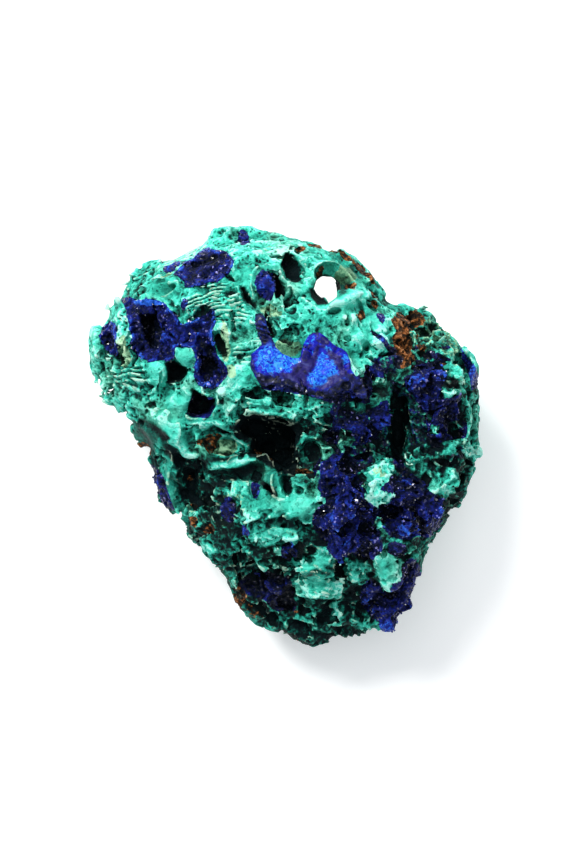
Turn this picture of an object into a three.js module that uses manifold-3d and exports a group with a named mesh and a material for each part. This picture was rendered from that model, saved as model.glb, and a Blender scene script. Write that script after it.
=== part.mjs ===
// Azurite and malachite geode: a hand specimen of green malachite, full of hollows, with a hole right
// through it, and with deep blue azurite grown in the hollows and over one side. Millimetres, +Z up.
// The stone lies on its flat break face. Its showy face looks up, and its narrow foot points to -Y.
import * as THREE from "three";
import { mergeVertices } from "three/addons/utils/BufferGeometryUtils.js";
import Module from "manifold-3d";

const wasm = await Module();
wasm.setup();

// Driving dimensions.
const OUTLINE_HEIGHT = 5.2; // the widest outline's mean height above the rest face
const OUTLINE_TILT = 1.3; // how much higher it lies at the upper left, and lower at the foot
const OUTLINE_MARGIN = 0.1; // makes up for the corners that flat facets cut off
const TILT_DIRECTION = 130 * (Math.PI / 180);
const CROWN_HEIGHT = 9.9; // the showy face's mean height
const UNDERCUT = 1.4; // how far the underside would reach below the rest face, had it not broken flat
const GAP = 0.2; // between the rock and each azurite piece
const SHOULDER = 0.52; // under 1 gives full shoulders between outline and crown
const FLANK = 0.7; // the same for the underside
const WALL_INSET = 0.45; // how far the side walls stand back from the outline
const SKIN_DETAIL = 8; // how finely the rock's own surface is divided
const STEEPEST = 38 * (Math.PI / 180); // a hollow's or lump's own axis leans no more than this
const AMPLE = 40; // the size of a block that cuts right across the stone

// The outline seen from above, anticlockwise from the right, in millimetres from the stone's middle.
const OUTLINE = [
  [8.6, -0.6], [8.4, 0.6], [8.6, 2.2], [8.3, 2.9], [7.8, 4.1], [7.1, 4.7], [6.4, 5.0], [6.1, 5.6],
  [5.4, 5.5], [4.7, 5.8], [4.1, 6.1], [3.7, 7.0], [3.0, 7.6], [2.6, 8.1], [1.8, 8.3], [0.6, 8.6],
  [-0.5, 8.9], [-1.6, 9.3], [-2.7, 9.4], [-3.5, 9.1], [-3.9, 8.5], [-5.0, 7.7], [-6.3, 7.7], [-7.3, 7.1],
  [-8.0, 5.7], [-8.6, 4.6], [-8.7, 3.4], [-8.4, 2.5], [-7.9, 1.8], [-7.1, 1.2], [-7.0, 0.2], [-6.3, -0.6],
  [-5.8, -1.1], [-5.9, -1.7], [-5.4, -2.6], [-4.8, -3.9], [-4.1, -4.6], [-3.4, -5.1], [-2.8, -6.2],
  [-2.2, -7.3], [-1.4, -8.2], [-0.3, -8.7], [0.5, -9.0], [1.2, -9.4], [1.9, -9.0], [2.9, -8.9],
  [3.9, -8.6], [4.7, -8.5], [5.3, -7.4], [5.8, -6.5], [5.8, -5.5], [6.4, -4.1], [7.3, -3.4], [7.9, -2.6],
  [8.1, -1.7],
];

// Swells and dips of the showy face: [x, y, spread, rise].
const RELIEF = [
  [0.3, 4.4, 3.2, 1.3], // the upper face's swell
  [-4.2, 5.4, 2.2, 0.7], // the left shoulder
  [-2.0, 1.5, 1.0, 0.7], // the brow above the cave
  [1.0, 1.4, 1.1, 0.5],
  [-1.6, -0.5, 1.3, -1.0], // the step below the brow
  [-4.8, -2.8, 1.7, -1.9], // the lower left flank falls away
  [-0.4, -3.2, 1.6, 0.4], // the broken ledges
  [3.2, -3.4, 1.5, 0.8], // the middle druse's bed
  [5.0, 0.4, 1.1, -1.6], // the groove beside the right block
  [6.8, 2.2, 1.5, 0.5], // the right block
  [0.5, -9.0, 3.0, -3.6], // the foot falls away
  [-7.5, 3.0, 2.0, -0.9], // the left end droops
];

// Roughness of the rock: [wavelength, height], and the lumps of its side walls.
const ROUGHNESS = [[2.4, 0.3], [1.1, 0.12]];
const LUMPS = { spacing: 3.1, height: 1.5 };

// Broken faces under the outline: [direction seen from above, how far the face leans under, clearance].
// Angles in degrees. The clearance is between the face and the outline, in millimetres.
const BREAKS = [
  [25, 15, 0.0], [88, 20, 0.1], [150, 12, 0.1], [207, 18, 0.1], [262, 10, 0.2], [318, 19, 0.0],
];

// A hollow whose two half sizes add up to more than this is cut with a finer ball.
const WIDE_HOLLOW = 2.25;

// Hollows: place, half width, half height and depth in millimetres, and turn in degrees.
const HOLLOWS = {
  top: { at: [-3.7, 7.5], half: [1.32, 0.86], depth: 1.5, turn: 12 },
  eye: { at: [-0.8, 6.8], half: [0.64, 0.88], depth: 1.4, turn: 0 },
  edge: { at: [-7.75, 4.4], half: [0.5, 0.86], depth: 0.9, turn: 8 },
  left: { at: [-6.05, 4.8], half: [1.2, 1.5], depth: 1.9, turn: 8 },
  neck: { at: [-4.55, 4.4], half: [1.4, 0.8], depth: 1.2, turn: -5 },
  arm: { at: [-3.6, 4.7], half: [0.7, 0.9], depth: 1.1, turn: -20 },
  lower: { at: [-3.45, 3.4], half: [0.8, 1.35], depth: 1.6, turn: 5 },
  cave: { at: [-0.85, -0.5], half: [1.15, 1.3], depth: 2.8, turn: 25 },
  cave_bowl: { at: [-3.0, -0.1], half: [1.2, 0.75], depth: 1.1, turn: 0 },
  brow_pocket: { at: [-4.0, 1.3], half: [0.65, 0.55], depth: 1.3, turn: 0 },
  knob_shadow: { at: [-5.1, 3.0], half: [0.5, 0.65], depth: 1.4, turn: 20 },
  eye_slot: { at: [-1.75, 6.2], half: [0.25, 0.7], depth: 0.8, turn: 32 },
  high_slot: { at: [0.4, 7.4], half: [0.32, 0.7], depth: 1.0, turn: 12 },
  small_pocket: { at: [0.1, 4.6], half: [0.4, 0.32], depth: 0.7, turn: 0 },
  brow_slot: { at: [0.0, 1.95], half: [0.95, 0.28], depth: 0.9, turn: -6 },
  groove: { at: [4.9, 0.6], half: [0.6, 2.0], depth: 2.2, turn: 4 },
  ledge_shadow: { at: [4.7, -3.3], half: [0.75, 0.38], depth: 1.2, turn: -5 },
  foot_hollow: { at: [-1.1, -6.2], half: [1.3, 0.75], depth: 1.0, turn: -15 },
  foot_cleft: { at: [2.35, -6.2], half: [0.32, 0.9], depth: 1.1, turn: 0 },
  flank_hollow: { at: [-4.1, -1.5], half: [0.75, 0.95], depth: 0.9, turn: 0 },
};

// Swells and dents of the side walls: [direction seen from above, height over the rest face, half
// width, half height, rise]. The direction is in degrees.
const WALL_SWELLS = [
  [8, 4.6, 1.1, 0.8, -0.9], [38, 7.2, 1.0, 0.7, -0.7], [66, 3.4, 1.3, 0.8, -1.0],
  [100, 6.4, 1.0, 0.8, -0.8], [128, 3.2, 1.2, 1.0, -1.1], [163, 5.6, 0.9, 1.0, -0.7],
  [196, 2.8, 1.0, 0.8, -0.8],
  [222, 5.4, 1.0, 0.8, -0.7], [252, 3.2, 0.9, 0.9, -0.8], [292, 3.0, 1.1, 0.8, -0.8],
  [326, 4.8, 1.0, 0.8, -0.8], [345, 2.2, 1.0, 0.8, -0.7],
  [22, 2.6, 1.3, 0.9, 0.7], [52, 5.4, 1.1, 0.9, 0.6], [84, 5.0, 1.0, 1.2, 0.5], [113, 1.9, 1.4, 0.8, 0.8],
  [144, 4.9, 1.0, 0.9, 0.5], [180, 3.9, 1.1, 0.8, 0.6], [210, 1.8, 1.2, 0.8, 0.7],
  [238, 3.9, 0.9, 1.1, 0.5], [270, 1.5, 1.1, 0.8, 0.6], [306, 4.2, 1.0, 0.9, 0.5],
  [334, 2.6, 1.2, 0.9, 0.7],
];

// The hole right through the stone: its mouth, its way out below and its radii.
const HOLE = { mouth: [1.9, 6.7], exit: [1.65, 6.6], mouthRadius: 1.0, throatRadius: 0.62, sides: 10 };

// The hollow break under the top edge, which the hole comes out in: middle and half sizes.
const SCOOP = { at: [1.9, 7.5, 0.4], half: [2.7, 3.0, 5.2] };

// Knobs and swells of the rock: place, half width, half height and rise, turn in degrees.
const KNOBS = [
  { at: [-5.6, 6.8], half: [0.9, 0.5], rise: 0.35, turn: -5 },
  { at: [-5.9, 2.9], half: [0.75, 0.55], rise: 0.45, turn: -30 },
  { at: [-4.55, 3.65], half: [0.4, 0.4], rise: 0.35, turn: 0 },
  { at: [2.5, 5.9], half: [1.2, 0.5], rise: 0.55, turn: 15 },
  { at: [2.9, 5.2], half: [0.7, 0.42], rise: 0.4, turn: 0 },
  { at: [3.0, 4.35], half: [0.45, 0.42], rise: 0.4, turn: 0 },
  { at: [4.1, 4.15], half: [0.5, 0.45], rise: 0.45, turn: 0 },
  { at: [6.7, 4.0], half: [1.2, 1.1], rise: 0.5, turn: -20 },
  { at: [4.0, -2.0], half: [0.75, 1.15], rise: 0.8, turn: 10 },
  { at: [7.0, -1.8], half: [0.6, 0.75], rise: 0.7, turn: -20 },
  { at: [-0.8, -2.8], half: [1.3, 0.6], rise: 0.4, turn: 10 },
  { at: [0.7, -3.1], half: [0.9, 0.7], rise: 0.5, turn: 0 },
  { at: [1.3, -5.5], half: [1.1, 0.5], rise: 0.7, turn: 15 },
  { at: [1.45, -6.6], half: [1.1, 0.55], rise: 0.7, turn: -5 },
  { at: [4.5, -5.8], half: [0.7, 0.9], rise: 0.7, turn: 0 },
  { at: [-5.0, 0.3], half: [1.5, 0.55], rise: 0.5, turn: -48 },
  { at: [2.9, -7.9], half: [0.8, 0.6], rise: 0.4, turn: 0 },
];

// Ledges: thin shelves of rock. Place, half length, half depth, thickness, turn, and lean in degrees.
const LEDGES = [
  { at: [-0.3, 1.2], half: [2.2, 0.6], thick: 0.4, turn: -4, lean: 14 },
  { at: [-2.5, -1.15], half: [1.4, 0.5], thick: 0.35, turn: 5, lean: 18 },
  { at: [-0.6, -4.3], half: [1.4, 0.5], thick: 0.35, turn: -3, lean: 16 },
  { at: [-1.6, -3.4], half: [0.9, 0.45], thick: 0.3, turn: -12, lean: 14 },
  { at: [0.3, -2.1], half: [1.0, 0.4], thick: 0.3, turn: 20, lean: 12 },
  { at: [1.2, -6.0], half: [1.1, 0.5], thick: 0.3, turn: 8, lean: 16 },
  { at: [6.9, 1.9], half: [0.9, 0.35], thick: 0.25, turn: 12, lean: 12 },
  { at: [-5.2, -2.3], half: [1.4, 0.35], thick: 0.5, turn: -72, lean: 0 },
];

// Stacks of parallel thin ribs, edge up: place, rib's half length, spacing, count, turn in degrees.
const RIB_STACKS = [
  { at: [-2.55, 5.9], length: 0.9, spacing: 0.36, count: 3, turn: 12 },
  { at: [-2.3, 4.5], length: 0.75, spacing: 0.36, count: 4, turn: 8 },
  { at: [-6.35, 2.25], length: 0.9, spacing: 0.4, count: 4, turn: -14 },
];
const RIB = { thick: 0.18, rise: 0.25, root: 0.5, fan: 0.25, lean: 0.3 };

// The bright blue azurite mass of the upper face, an outline seen from above.
const MASS_OUTLINE = [
  [-1.6, 3.4], [-1.3, 4.0], [-1.3, 5.0], [-1.0, 5.3], [-0.7, 4.2], [0.1, 3.7], [0.7, 3.7], [0.7, 4.3],
  [1.3, 4.6], [2.1, 4.2], [2.8, 3.5], [3.1, 2.6], [3.3, 1.9], [2.6, 1.8], [1.5, 1.9], [0.3, 2.2],
  [-0.8, 2.3], [-1.4, 2.6],
];
const MASS = { at: [0.7, 3.3], thick: 0.9, proud: 0.25, edge: 0.12 };

// Azurite grown over the outside: each druse is a few overlapping cushions set with crystals.
// A cushion: place, half width, half height, rise, turn in degrees.
const DRUSES = {
  azurite_druse_shoulder: {
    cushions: [
      { at: [6.1, 2.4], half: [1.1, 0.85], rise: 0.5, turn: 8 },
      { at: [7.2, 2.5], half: [0.9, 1.0], rise: 0.5, turn: 15 },
      { at: [6.7, 1.5], half: [1.1, 1.0], rise: 0.4, turn: 0 },
      { at: [6.8, 0.6], half: [1.0, 1.0], rise: 0.5, turn: 0 },
    ],
    crystals: 10,
  },
  azurite_druse_brow: {
    cushions: [
      { at: [3.6, 0.8], half: [1.05, 0.85], rise: 0.6, turn: 0 },
      { at: [2.8, 0.3], half: [0.9, 0.7], rise: 0.5, turn: -25 },
      { at: [3.8, 1.6], half: [0.65, 0.85], rise: 0.4, turn: 0 },
      { at: [4.0, 2.6], half: [0.6, 0.75], rise: 0.4, turn: 20 },
    ],
    crystals: 9,
  },
  azurite_druse_middle: {
    cushions: [
      { at: [2.2, -1.6], half: [0.8, 0.95], rise: 0.5, turn: 0 },
      { at: [2.5, -2.7], half: [0.95, 0.95], rise: 0.7, turn: 0 },
      { at: [2.0, -3.6], half: [0.95, 0.85], rise: 0.6, turn: 0 },
      { at: [2.6, -4.5], half: [0.95, 0.85], rise: 0.6, turn: 0 },
    ],
    crystals: 11,
  },
  azurite_druse_flank: {
    cushions: [
      { at: [5.5, -2.4], half: [1.05, 0.9], rise: 0.5, turn: -15 },
      { at: [5.3, -3.5], half: [0.95, 0.95], rise: 0.5, turn: 0 },
      { at: [6.2, -3.0], half: [0.9, 0.9], rise: 0.45, turn: 0 },
    ],
    crystals: 10,
  },
  azurite_druse_foot: {
    cushions: [
      { at: [4.9, -6.9], half: [0.8, 0.95], rise: 0.6, turn: 25 },
      { at: [4.4, -7.7], half: [0.7, 0.7], rise: 0.6, turn: 0 },
      { at: [5.1, -6.1], half: [0.6, 0.75], rise: 0.6, turn: 0 },
    ],
    crystals: 8,
  },
};
const CUSHION_ROOT = 0.9; // how deep a cushion is rooted in the rock
const CRYSTAL = { breadth: 0.4, thick: 0.26, length: 0.36, root: 0.25, spread: 0.9 };

// Azurite crusts that line hollows: which hollows each lines, and how many crystals stand in it.
const CRUSTS = {
  azurite_crust_top: { hollows: ["top"], crystals: 7 },
  azurite_crust_twin: { hollows: ["left", "neck", "arm", "lower"], crystals: 10 },
  azurite_crust_eye: { hollows: ["eye"], crystals: 4 },
  azurite_crust_edge: { hollows: ["edge"], crystals: 4 },
};
const CRUST = { wall: 0.3, open: 0.42, rim: 0.12 }; // thickness, how far its bowl is raised, and its rim

const COLOURS = { malachite: 0x3fb99c, azurite: 0x1b1a86 };

// ---- Helpers: repeatable randomness, noise and solids ----

function seededRandom(seed) {
  let state = seed;
  return () => {
    state = (state + 0x6d2b79f5) | 0;
    let t = Math.imul(state ^ (state >>> 15), 1 | state);
    t = (t + Math.imul(t ^ (t >>> 7), 61 | t)) ^ t;
    return ((t ^ (t >>> 14)) >>> 0) / 4294967296;
  };
}

// A repeatable value between -1 and 1 for each point of a whole-number lattice.
function latticeValue(i, j, k) {
  let h = Math.imul(i, 374761393) + Math.imul(j, 668265263) + Math.imul(k, 2147483647);
  h = Math.imul(h ^ (h >>> 13), 1274126177);
  return ((h ^ (h >>> 16)) >>> 0) / 2147483648 - 1;
}

// Rounded lumps with creases between them: 1 on a lump's top, about 0 in a crease.
function lumps(x, y, z) {
  const base = [Math.floor(x), Math.floor(y), Math.floor(z)];
  const cells = Array.from({ length: 27 }, (_, cell) => {
    const [i, j, k] = [cell % 3, Math.floor(cell / 3) % 3, Math.floor(cell / 9)];
    return [base[0] + i - 1, base[1] + j - 1, base[2] + k - 1];
  });
  const distances = cells.map(([i, j, k]) => {
    const shift = [latticeValue(i, j, k), latticeValue(j, k, i), latticeValue(k, i, j)];
    const centre = [i, j, k].map((corner, axis) => corner + 0.5 + 0.4 * shift[axis]);
    return Math.hypot(centre[0] - x, centre[1] - y, centre[2] - z);
  });
  return 1 - Math.min(...distances) ** 2;
}

// Smooth noise between -1 and 1.
function noise(x, y, z) {
  const base = [Math.floor(x), Math.floor(y), Math.floor(z)];
  const ease = [x - base[0], y - base[1], z - base[2]].map((t) => t * t * (3 - 2 * t));
  let sum = 0;
  for (let corner = 0; corner < 8; corner += 1) {
    const step = [corner & 1, (corner >> 1) & 1, (corner >> 2) & 1];
    const weight = step.reduce((w, s, axis) => w * (s ? ease[axis] : 1 - ease[axis]), 1);
    sum += weight * latticeValue(base[0] + step[0], base[1] + step[1], base[2] + step[2]);
  }
  return sum;
}

// A closed geometry as a manifold-3d solid.
function solid(geometry) {
  geometry.deleteAttribute("normal");
  geometry.deleteAttribute("uv");
  const merged = mergeVertices(geometry, 1e-4);
  const triVerts = new Uint32Array(merged.index.array);
  const vertProperties = merged.attributes.position.array;
  return new wasm.Manifold(new wasm.Mesh({ numProp: 3, vertProperties, triVerts }));
}

// A manifold-3d solid back as geometry.
function geometryOf(made) {
  const mesh = made.getMesh();
  const geometry = new THREE.BufferGeometry();
  geometry.setAttribute("position", new THREE.BufferAttribute(mesh.vertProperties, 3));
  geometry.setIndex(new THREE.BufferAttribute(mesh.triVerts, 1));
  geometry.computeVertexNormals();
  return geometry;
}

// The largest body of a solid, without the crumbs that a cut may leave.
function largest(made) {
  return made.decompose().reduce((best, body) => (body.volume() > best.volume() ? body : best));
}

// Moves every vertex of a geometry by a function of its place.
function reshape(geometry, move) {
  const positions = geometry.attributes.position;
  const point = new THREE.Vector3();
  for (let i = 0; i < positions.count; i += 1) {
    point.fromBufferAttribute(positions, i);
    move(point);
    positions.setXYZ(i, point.x, point.y, point.z);
  }
  return geometry;
}

// ---- The stone's own surface ----

// Distance from the middle to the outline in a direction seen from above.
function outlineReach(angle) {
  const [dx, dy] = [Math.cos(angle), Math.sin(angle)];
  const crossings = OUTLINE.map(([ax, ay], i) => {
    const [bx, by] = OUTLINE[(i + 1) % OUTLINE.length];
    const across = dx * (by - ay) - dy * (bx - ax);
    const share = (ax * dy - ay * dx) / across;
    return Math.abs(share - 0.5) <= 0.5 + 1e-6 ? (ax * (by - ay) - ay * (bx - ax)) / across : 0;
  });
  return Math.max(...crossings) + OUTLINE_MARGIN;
}

// The same with the outline's notches smoothed out.
function calmReach(angle) {
  const steps = [-0.36, -0.24, -0.12, 0, 0.12, 0.24, 0.36];
  return steps.reduce((sum, step) => sum + outlineReach(angle + step), 0) / steps.length;
}

// Height of the widest outline above the rest face.
function outlineHeight(angle) {
  return OUTLINE_HEIGHT + OUTLINE_TILT * Math.cos(angle - TILT_DIRECTION);
}

// Height that the showy face would have over a point, away from its shoulders.
function crown(x, y) {
  return RELIEF.reduce(
    (height, [cx, cy, spread, rise]) =>
      height + rise * Math.exp(-((x - cx) ** 2 + (y - cy) ** 2) / (2 * spread ** 2)),
    CROWN_HEIGHT,
  );
}

// The local frame of a side wall: +Z of the frame looks out of the stone, +Y up the wall.
function wallFrame(direction, height) {
  const around = THREE.MathUtils.degToRad(direction);
  const widest = outlineHeight(around);
  const above = height >= widest;
  const fullness = above ? SHOULDER : FLANK;
  const range = above ? CROWN_HEIGHT - widest : widest + UNDERCUT;
  const rise = (Math.abs(height - widest) / range) ** (1 / fullness);
  const distance = calmReach(around) * Math.sqrt(1 - rise ** 2) ** fullness;
  const lean = (above ? 0.8 : -0.8) * Math.asin(rise);
  const level = Math.cos(lean);
  const outward = new THREE.Vector3(level * Math.cos(around), level * Math.sin(around), Math.sin(lean));
  const side = new THREE.Vector3(-Math.sin(around), Math.cos(around), 0);
  return new THREE.Matrix4()
    .makeBasis(side, outward.clone().cross(side), outward)
    .setPosition(distance * Math.cos(around), distance * Math.sin(around), height);
}

const wallForms = WALL_SWELLS.map(([direction, height, width, tall, rise]) => {
  return { inverse: wallFrame(direction, height).invert(), width, tall, rise };
});

// Takes a unit direction to the stone's surface, a full-shouldered ellipsoid over the outline.
function stoneSurface(point) {
  const level = Math.sqrt(Math.max(0, 1 - point.z ** 2));
  const angle = Math.atan2(point.y, point.x);
  const away = Math.min(1, 3 * Math.abs(point.z)); // the outline's small notches fade above and below it
  const reach = THREE.MathUtils.lerp(outlineReach(angle), calmReach(angle) - WALL_INSET, away);
  const power = 2 / (point.z >= 0 ? SHOULDER : FLANK);
  const stretch = (level ** power + Math.abs(point.z) ** power) ** (-1 / power);
  const distance = reach * level * stretch;
  const [x, y] = [distance * Math.cos(angle), distance * Math.sin(angle)];
  const widest = outlineHeight(angle);
  const span = point.z >= 0 ? crown(x, y) - widest : widest + UNDERCUT;
  const z = widest + span * point.z * stretch;
  const outward = new THREE.Vector3(point.x, point.y, point.z);
  point.set(x, y, z);
  const rough = ROUGHNESS.reduce(
    (sum, [wave, height]) => sum + height * noise(x / wave, y / wave, z / wave),
    0,
  );
  const wall = 1 - THREE.MathUtils.smoothstep(z, CROWN_HEIGHT - 3, CROWN_HEIGHT - 1);
  const bulge = LUMPS.height * (lumps(x / LUMPS.spacing, y / LUMPS.spacing, z / LUMPS.spacing) - 0.8);
  const swell = wallForms.reduce((sum, { inverse, width, tall, rise }) => {
    const local = point.clone().applyMatrix4(inverse);
    return sum + rise * Math.exp(-((local.x / width) ** 2) - (local.y / tall) ** 2 - (local.z / 2) ** 2);
  }, 0);
  point.addScaledVector(outward, (rough + (bulge + swell) * wall) * (0.08 + 0.92 * away));
}

const stoneSkin = new THREE.Mesh(reshape(new THREE.IcosahedronGeometry(1, SKIN_DETAIL), stoneSurface));

// Height of the showy face over a point.
function skinHeight(x, y) {
  const ray = new THREE.Raycaster(new THREE.Vector3(x, y, 2 * CROWN_HEIGHT), new THREE.Vector3(0, 0, -1));
  const [hit] = ray.intersectObject(stoneSkin);
  return hit ? hit.point.z : OUTLINE_HEIGHT;
}

// The local frame of the surface over a point: +Z of the frame looks out of the stone.
function surfaceFrame([x, y], turn = 0) {
  const step = 0.4;
  const slopeX = (skinHeight(x + step, y) - skinHeight(x - step, y)) / (2 * step);
  const slopeY = (skinHeight(x, y + step) - skinHeight(x, y - step)) / (2 * step);
  const lean = Math.min(STEEPEST, Math.atan(Math.hypot(slopeX, slopeY)));
  const heading = Math.atan2(-slopeY, -slopeX);
  const axis = new THREE.Vector3(-Math.sin(heading), Math.cos(heading), 0);
  return new THREE.Matrix4()
    .makeTranslation(x, y, skinHeight(x, y))
    .multiply(new THREE.Matrix4().makeRotationAxis(axis, lean))
    .multiply(new THREE.Matrix4().makeRotationZ(THREE.MathUtils.degToRad(turn)));
}

// An uneven ellipsoid in its own frame, with half sizes widened by an extra.
function unevenBall([hx, hy, hz], extra, seed, detail = 1, uneven = 0.14) {
  return reshape(new THREE.OctahedronGeometry(1, detail), (p) => {
    const swell = 1 + uneven * noise(p.x * 1.7 + seed * 3.1, p.y * 1.7 - seed, p.z * 1.7 + seed * 1.3);
    p.set(p.x * (hx + extra), p.y * (hy + extra), p.z * (hz + extra)).multiplyScalar(swell);
  });
}

// ---- Rock ----

function stoneForm() {
  const form = solid(stoneSkin.geometry);
  const below = new THREE.BoxGeometry(AMPLE, AMPLE, AMPLE).translate(0, 0, -AMPLE / 2);
  return form.subtract(wasm.Manifold.union([solid(below), ...BREAKS.map(breakSolid)]));
}

// The half space outside a broken face, as a block.
function breakSolid([direction, under, clearance]) {
  const around = THREE.MathUtils.degToRad(direction);
  const lean = THREE.MathUtils.degToRad(under);
  const block = new THREE.BoxGeometry(AMPLE, AMPLE, AMPLE).translate(AMPLE / 2, 0, -AMPLE / 2);
  block.rotateY(lean).translate(calmReach(around) + clearance, 0, outlineHeight(around));
  return solid(block.rotateZ(around));
}

function knobSolid(knob, index) {
  const ball = unevenBall([...knob.half, knob.rise * 2], 0, index + 20, 1, 0.2);
  return solid(ball.translate(0, 0, -knob.rise).applyMatrix4(surfaceFrame(knob.at, knob.turn)));
}

// A shelf with a broken edge: an irregular slab, leaning so that its front stands proud.
function ledgeSolid(ledge, index) {
  const { half, thick, lean } = ledge;
  const random = seededRandom(index + 5);
  const points = 7;
  const shape = new THREE.Shape(
    Array.from({ length: points }, (_, i) => {
      const angle = (i / points) * 2 * Math.PI;
      const ragged = 0.82 + 0.3 * random();
      return new THREE.Vector2(half[0] * ragged * Math.cos(angle), half[1] * ragged * Math.sin(angle));
    }),
  );
  const slab = new THREE.ExtrudeGeometry(shape, { depth: thick, bevelEnabled: false });
  slab.translate(0, 0, -thick * 0.3);
  slab.rotateX(-THREE.MathUtils.degToRad(lean));
  return solid(slab.applyMatrix4(surfaceFrame(ledge.at, ledge.turn)));
}

function ribSolids({ at, length, spacing, count, turn }) {
  const random = seededRandom(count + turn);
  const height = RIB.rise + RIB.root;
  return Array.from({ length: count }, (_, i) => {
    const across = (i - (count - 1) / 2) * spacing;
    const thick = RIB.thick * (0.8 + 0.6 * random());
    const rib = new THREE.BoxGeometry(2 * length * (0.7 + 0.3 * random()), thick, height);
    rib.rotateZ((random() - 0.5) * RIB.fan).translate(0.2 * random(), across, height / 2 - RIB.root);
    return solid(rib.rotateX(RIB.lean).applyMatrix4(surfaceFrame(at, turn)));
  });
}

// The ball that a hollow is cut with. An extra below zero gives the room that its crust may fill.
function hollowSolid(hollow, extra = 0) {
  const detail = hollow.half[0] + hollow.half[1] > WIDE_HOLLOW ? 2 : 1;
  const ball = unevenBall([...hollow.half, hollow.depth], extra, hollow.half[0] * 7, detail);
  return solid(ball.applyMatrix4(surfaceFrame(hollow.at, hollow.turn)));
}

function holeSolid() {
  const { mouth, exit, mouthRadius, throatRadius, sides } = HOLE;
  const beyond = 1; // how far the tube reaches out of the stone at either end
  const top = skinHeight(...mouth) + beyond;
  const rings = 8;
  const tube = new THREE.CylinderGeometry(1, 1, 1, sides, rings).rotateX(Math.PI / 2);
  return solid(
    reshape(tube, (p) => {
      const share = p.z + 0.5; // 0 below, 1 at the mouth
      const waist = Math.abs(share - 0.45) / 0.55;
      const radius = throatRadius + (mouthRadius - throatRadius) * waist ** 1.6;
      const around = Math.hypot(p.x, p.y) < 1e-6 ? 0 : Math.atan2(p.y, p.x);
      const uneven = 1 + 0.13 * noise(Math.cos(around) * 1.5, Math.sin(around) * 1.5, share * 4);
      const z = -beyond + share * (top + beyond);
      p.x = p.x * radius * uneven + exit[0] + (mouth[0] - exit[0]) * share;
      p.y = p.y * radius * uneven + exit[1] + (mouth[1] - exit[1]) * share;
      p.z = z;
    }),
  );
}

function scoopSolid() {
  const scoop = unevenBall(SCOOP.half, 0, 4, 3, 0.1);
  return solid(scoop.translate(...SCOOP.at));
}

// ---- Azurite ----

// One flat-faced crystal, its root near the origin and its tip along +Z.
function crystalGeometry(size) {
  const { breadth, thick, length, root } = CRYSTAL;
  const crystal = new THREE.OctahedronGeometry(1).translate(0, 0, root);
  return crystal.scale(breadth * size, thick * size, length * size);
}

// Stands a crystal at a point with its tip along a direction.
function placedCrystal(point, direction, size, spin) {
  const aim = new THREE.Quaternion().setFromUnitVectors(new THREE.Vector3(0, 0, 1), direction);
  return crystalGeometry(size)
    .rotateZ(spin)
    .applyQuaternion(aim)
    .translate(point.x, point.y, point.z);
}

// A lining of a hollow: its ball, opened towards the outside, with crystals on the inner wall and rim.
function crustSolid(name) {
  const { hollows, crystals } = CRUSTS[name];
  const random = seededRandom(hollows.length * 7 + crystals);
  const rooms = hollows.map((hollow) => hollowSolid(HOLLOWS[hollow], -GAP));
  const room = wasm.Manifold.union(rooms);
  const bowls = hollows.map((hollow) => {
    const { at, half, depth, turn } = HOLLOWS[hollow];
    const open = [half[0] - CRUST.wall - GAP, half[1] - CRUST.wall - GAP, depth - CRUST.wall];
    const bowl = unevenBall(open.map((size) => Math.max(size, 0.14)), 0, 9, 1);
    return solid(bowl.translate(0, 0, CRUST.open * depth * 0.5).applyMatrix4(surfaceFrame(at, turn)));
  });
  const linings = hollows.map((hollow, i) => {
    const { at, half, turn } = HOLLOWS[hollow];
    const lid = new THREE.BoxGeometry(half[0] * 2.6, half[1] * 2.6, 3).translate(0, 0, 1.5 + CRUST.rim);
    return rooms[i].subtract(solid(lid.applyMatrix4(surfaceFrame(at, turn))));
  });
  const lining = wasm.Manifold.union(linings).subtract(wasm.Manifold.union(bowls));
  const grown = Array.from({ length: crystals }, () => {
    const { at, half, depth, turn } = HOLLOWS[hollows[Math.floor(random() * hollows.length)]];
    const around = random() * 2 * Math.PI;
    const down = random() * 0.7;
    const share = 1 - (CRUST.wall * 0.6 + GAP) / Math.min(...half);
    const root = new THREE.Vector3(
      Math.cos(around) * half[0] * share * Math.sqrt(1 - down ** 2),
      Math.sin(around) * half[1] * share * Math.sqrt(1 - down ** 2),
      -down * depth * 0.9,
    );
    const tip = new THREE.Vector3(-root.x * 0.5, -root.y * 0.5, 0.7).normalize();
    const frame = surfaceFrame(at, turn);
    const size = 0.6 + 0.5 * random();
    return solid(placedCrystal(root, tip, size, random() * 6).applyMatrix4(frame));
  });
  return largest(wasm.Manifold.union([lining, ...grown]).intersect(room));
}

// The bright mass: a slab with a bevelled rim. Its seat in the rock is wider and open above.
function massSolid(extra) {
  const shape = new THREE.Shape(MASS_OUTLINE.map(([x, y]) => new THREE.Vector2(x, y)));
  const { at, thick, proud, edge } = MASS;
  const rise = extra ? 3 : 0;
  const slab = new THREE.ExtrudeGeometry(shape, {
    depth: thick + extra + rise - 2 * edge,
    bevelSize: edge,
    bevelThickness: edge,
    bevelOffset: extra - edge,
    bevelSegments: 1,
  });
  slab.translate(-at[0], -at[1], edge + proud - thick - extra);
  return solid(slab.applyMatrix4(surfaceFrame(at)));
}

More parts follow.
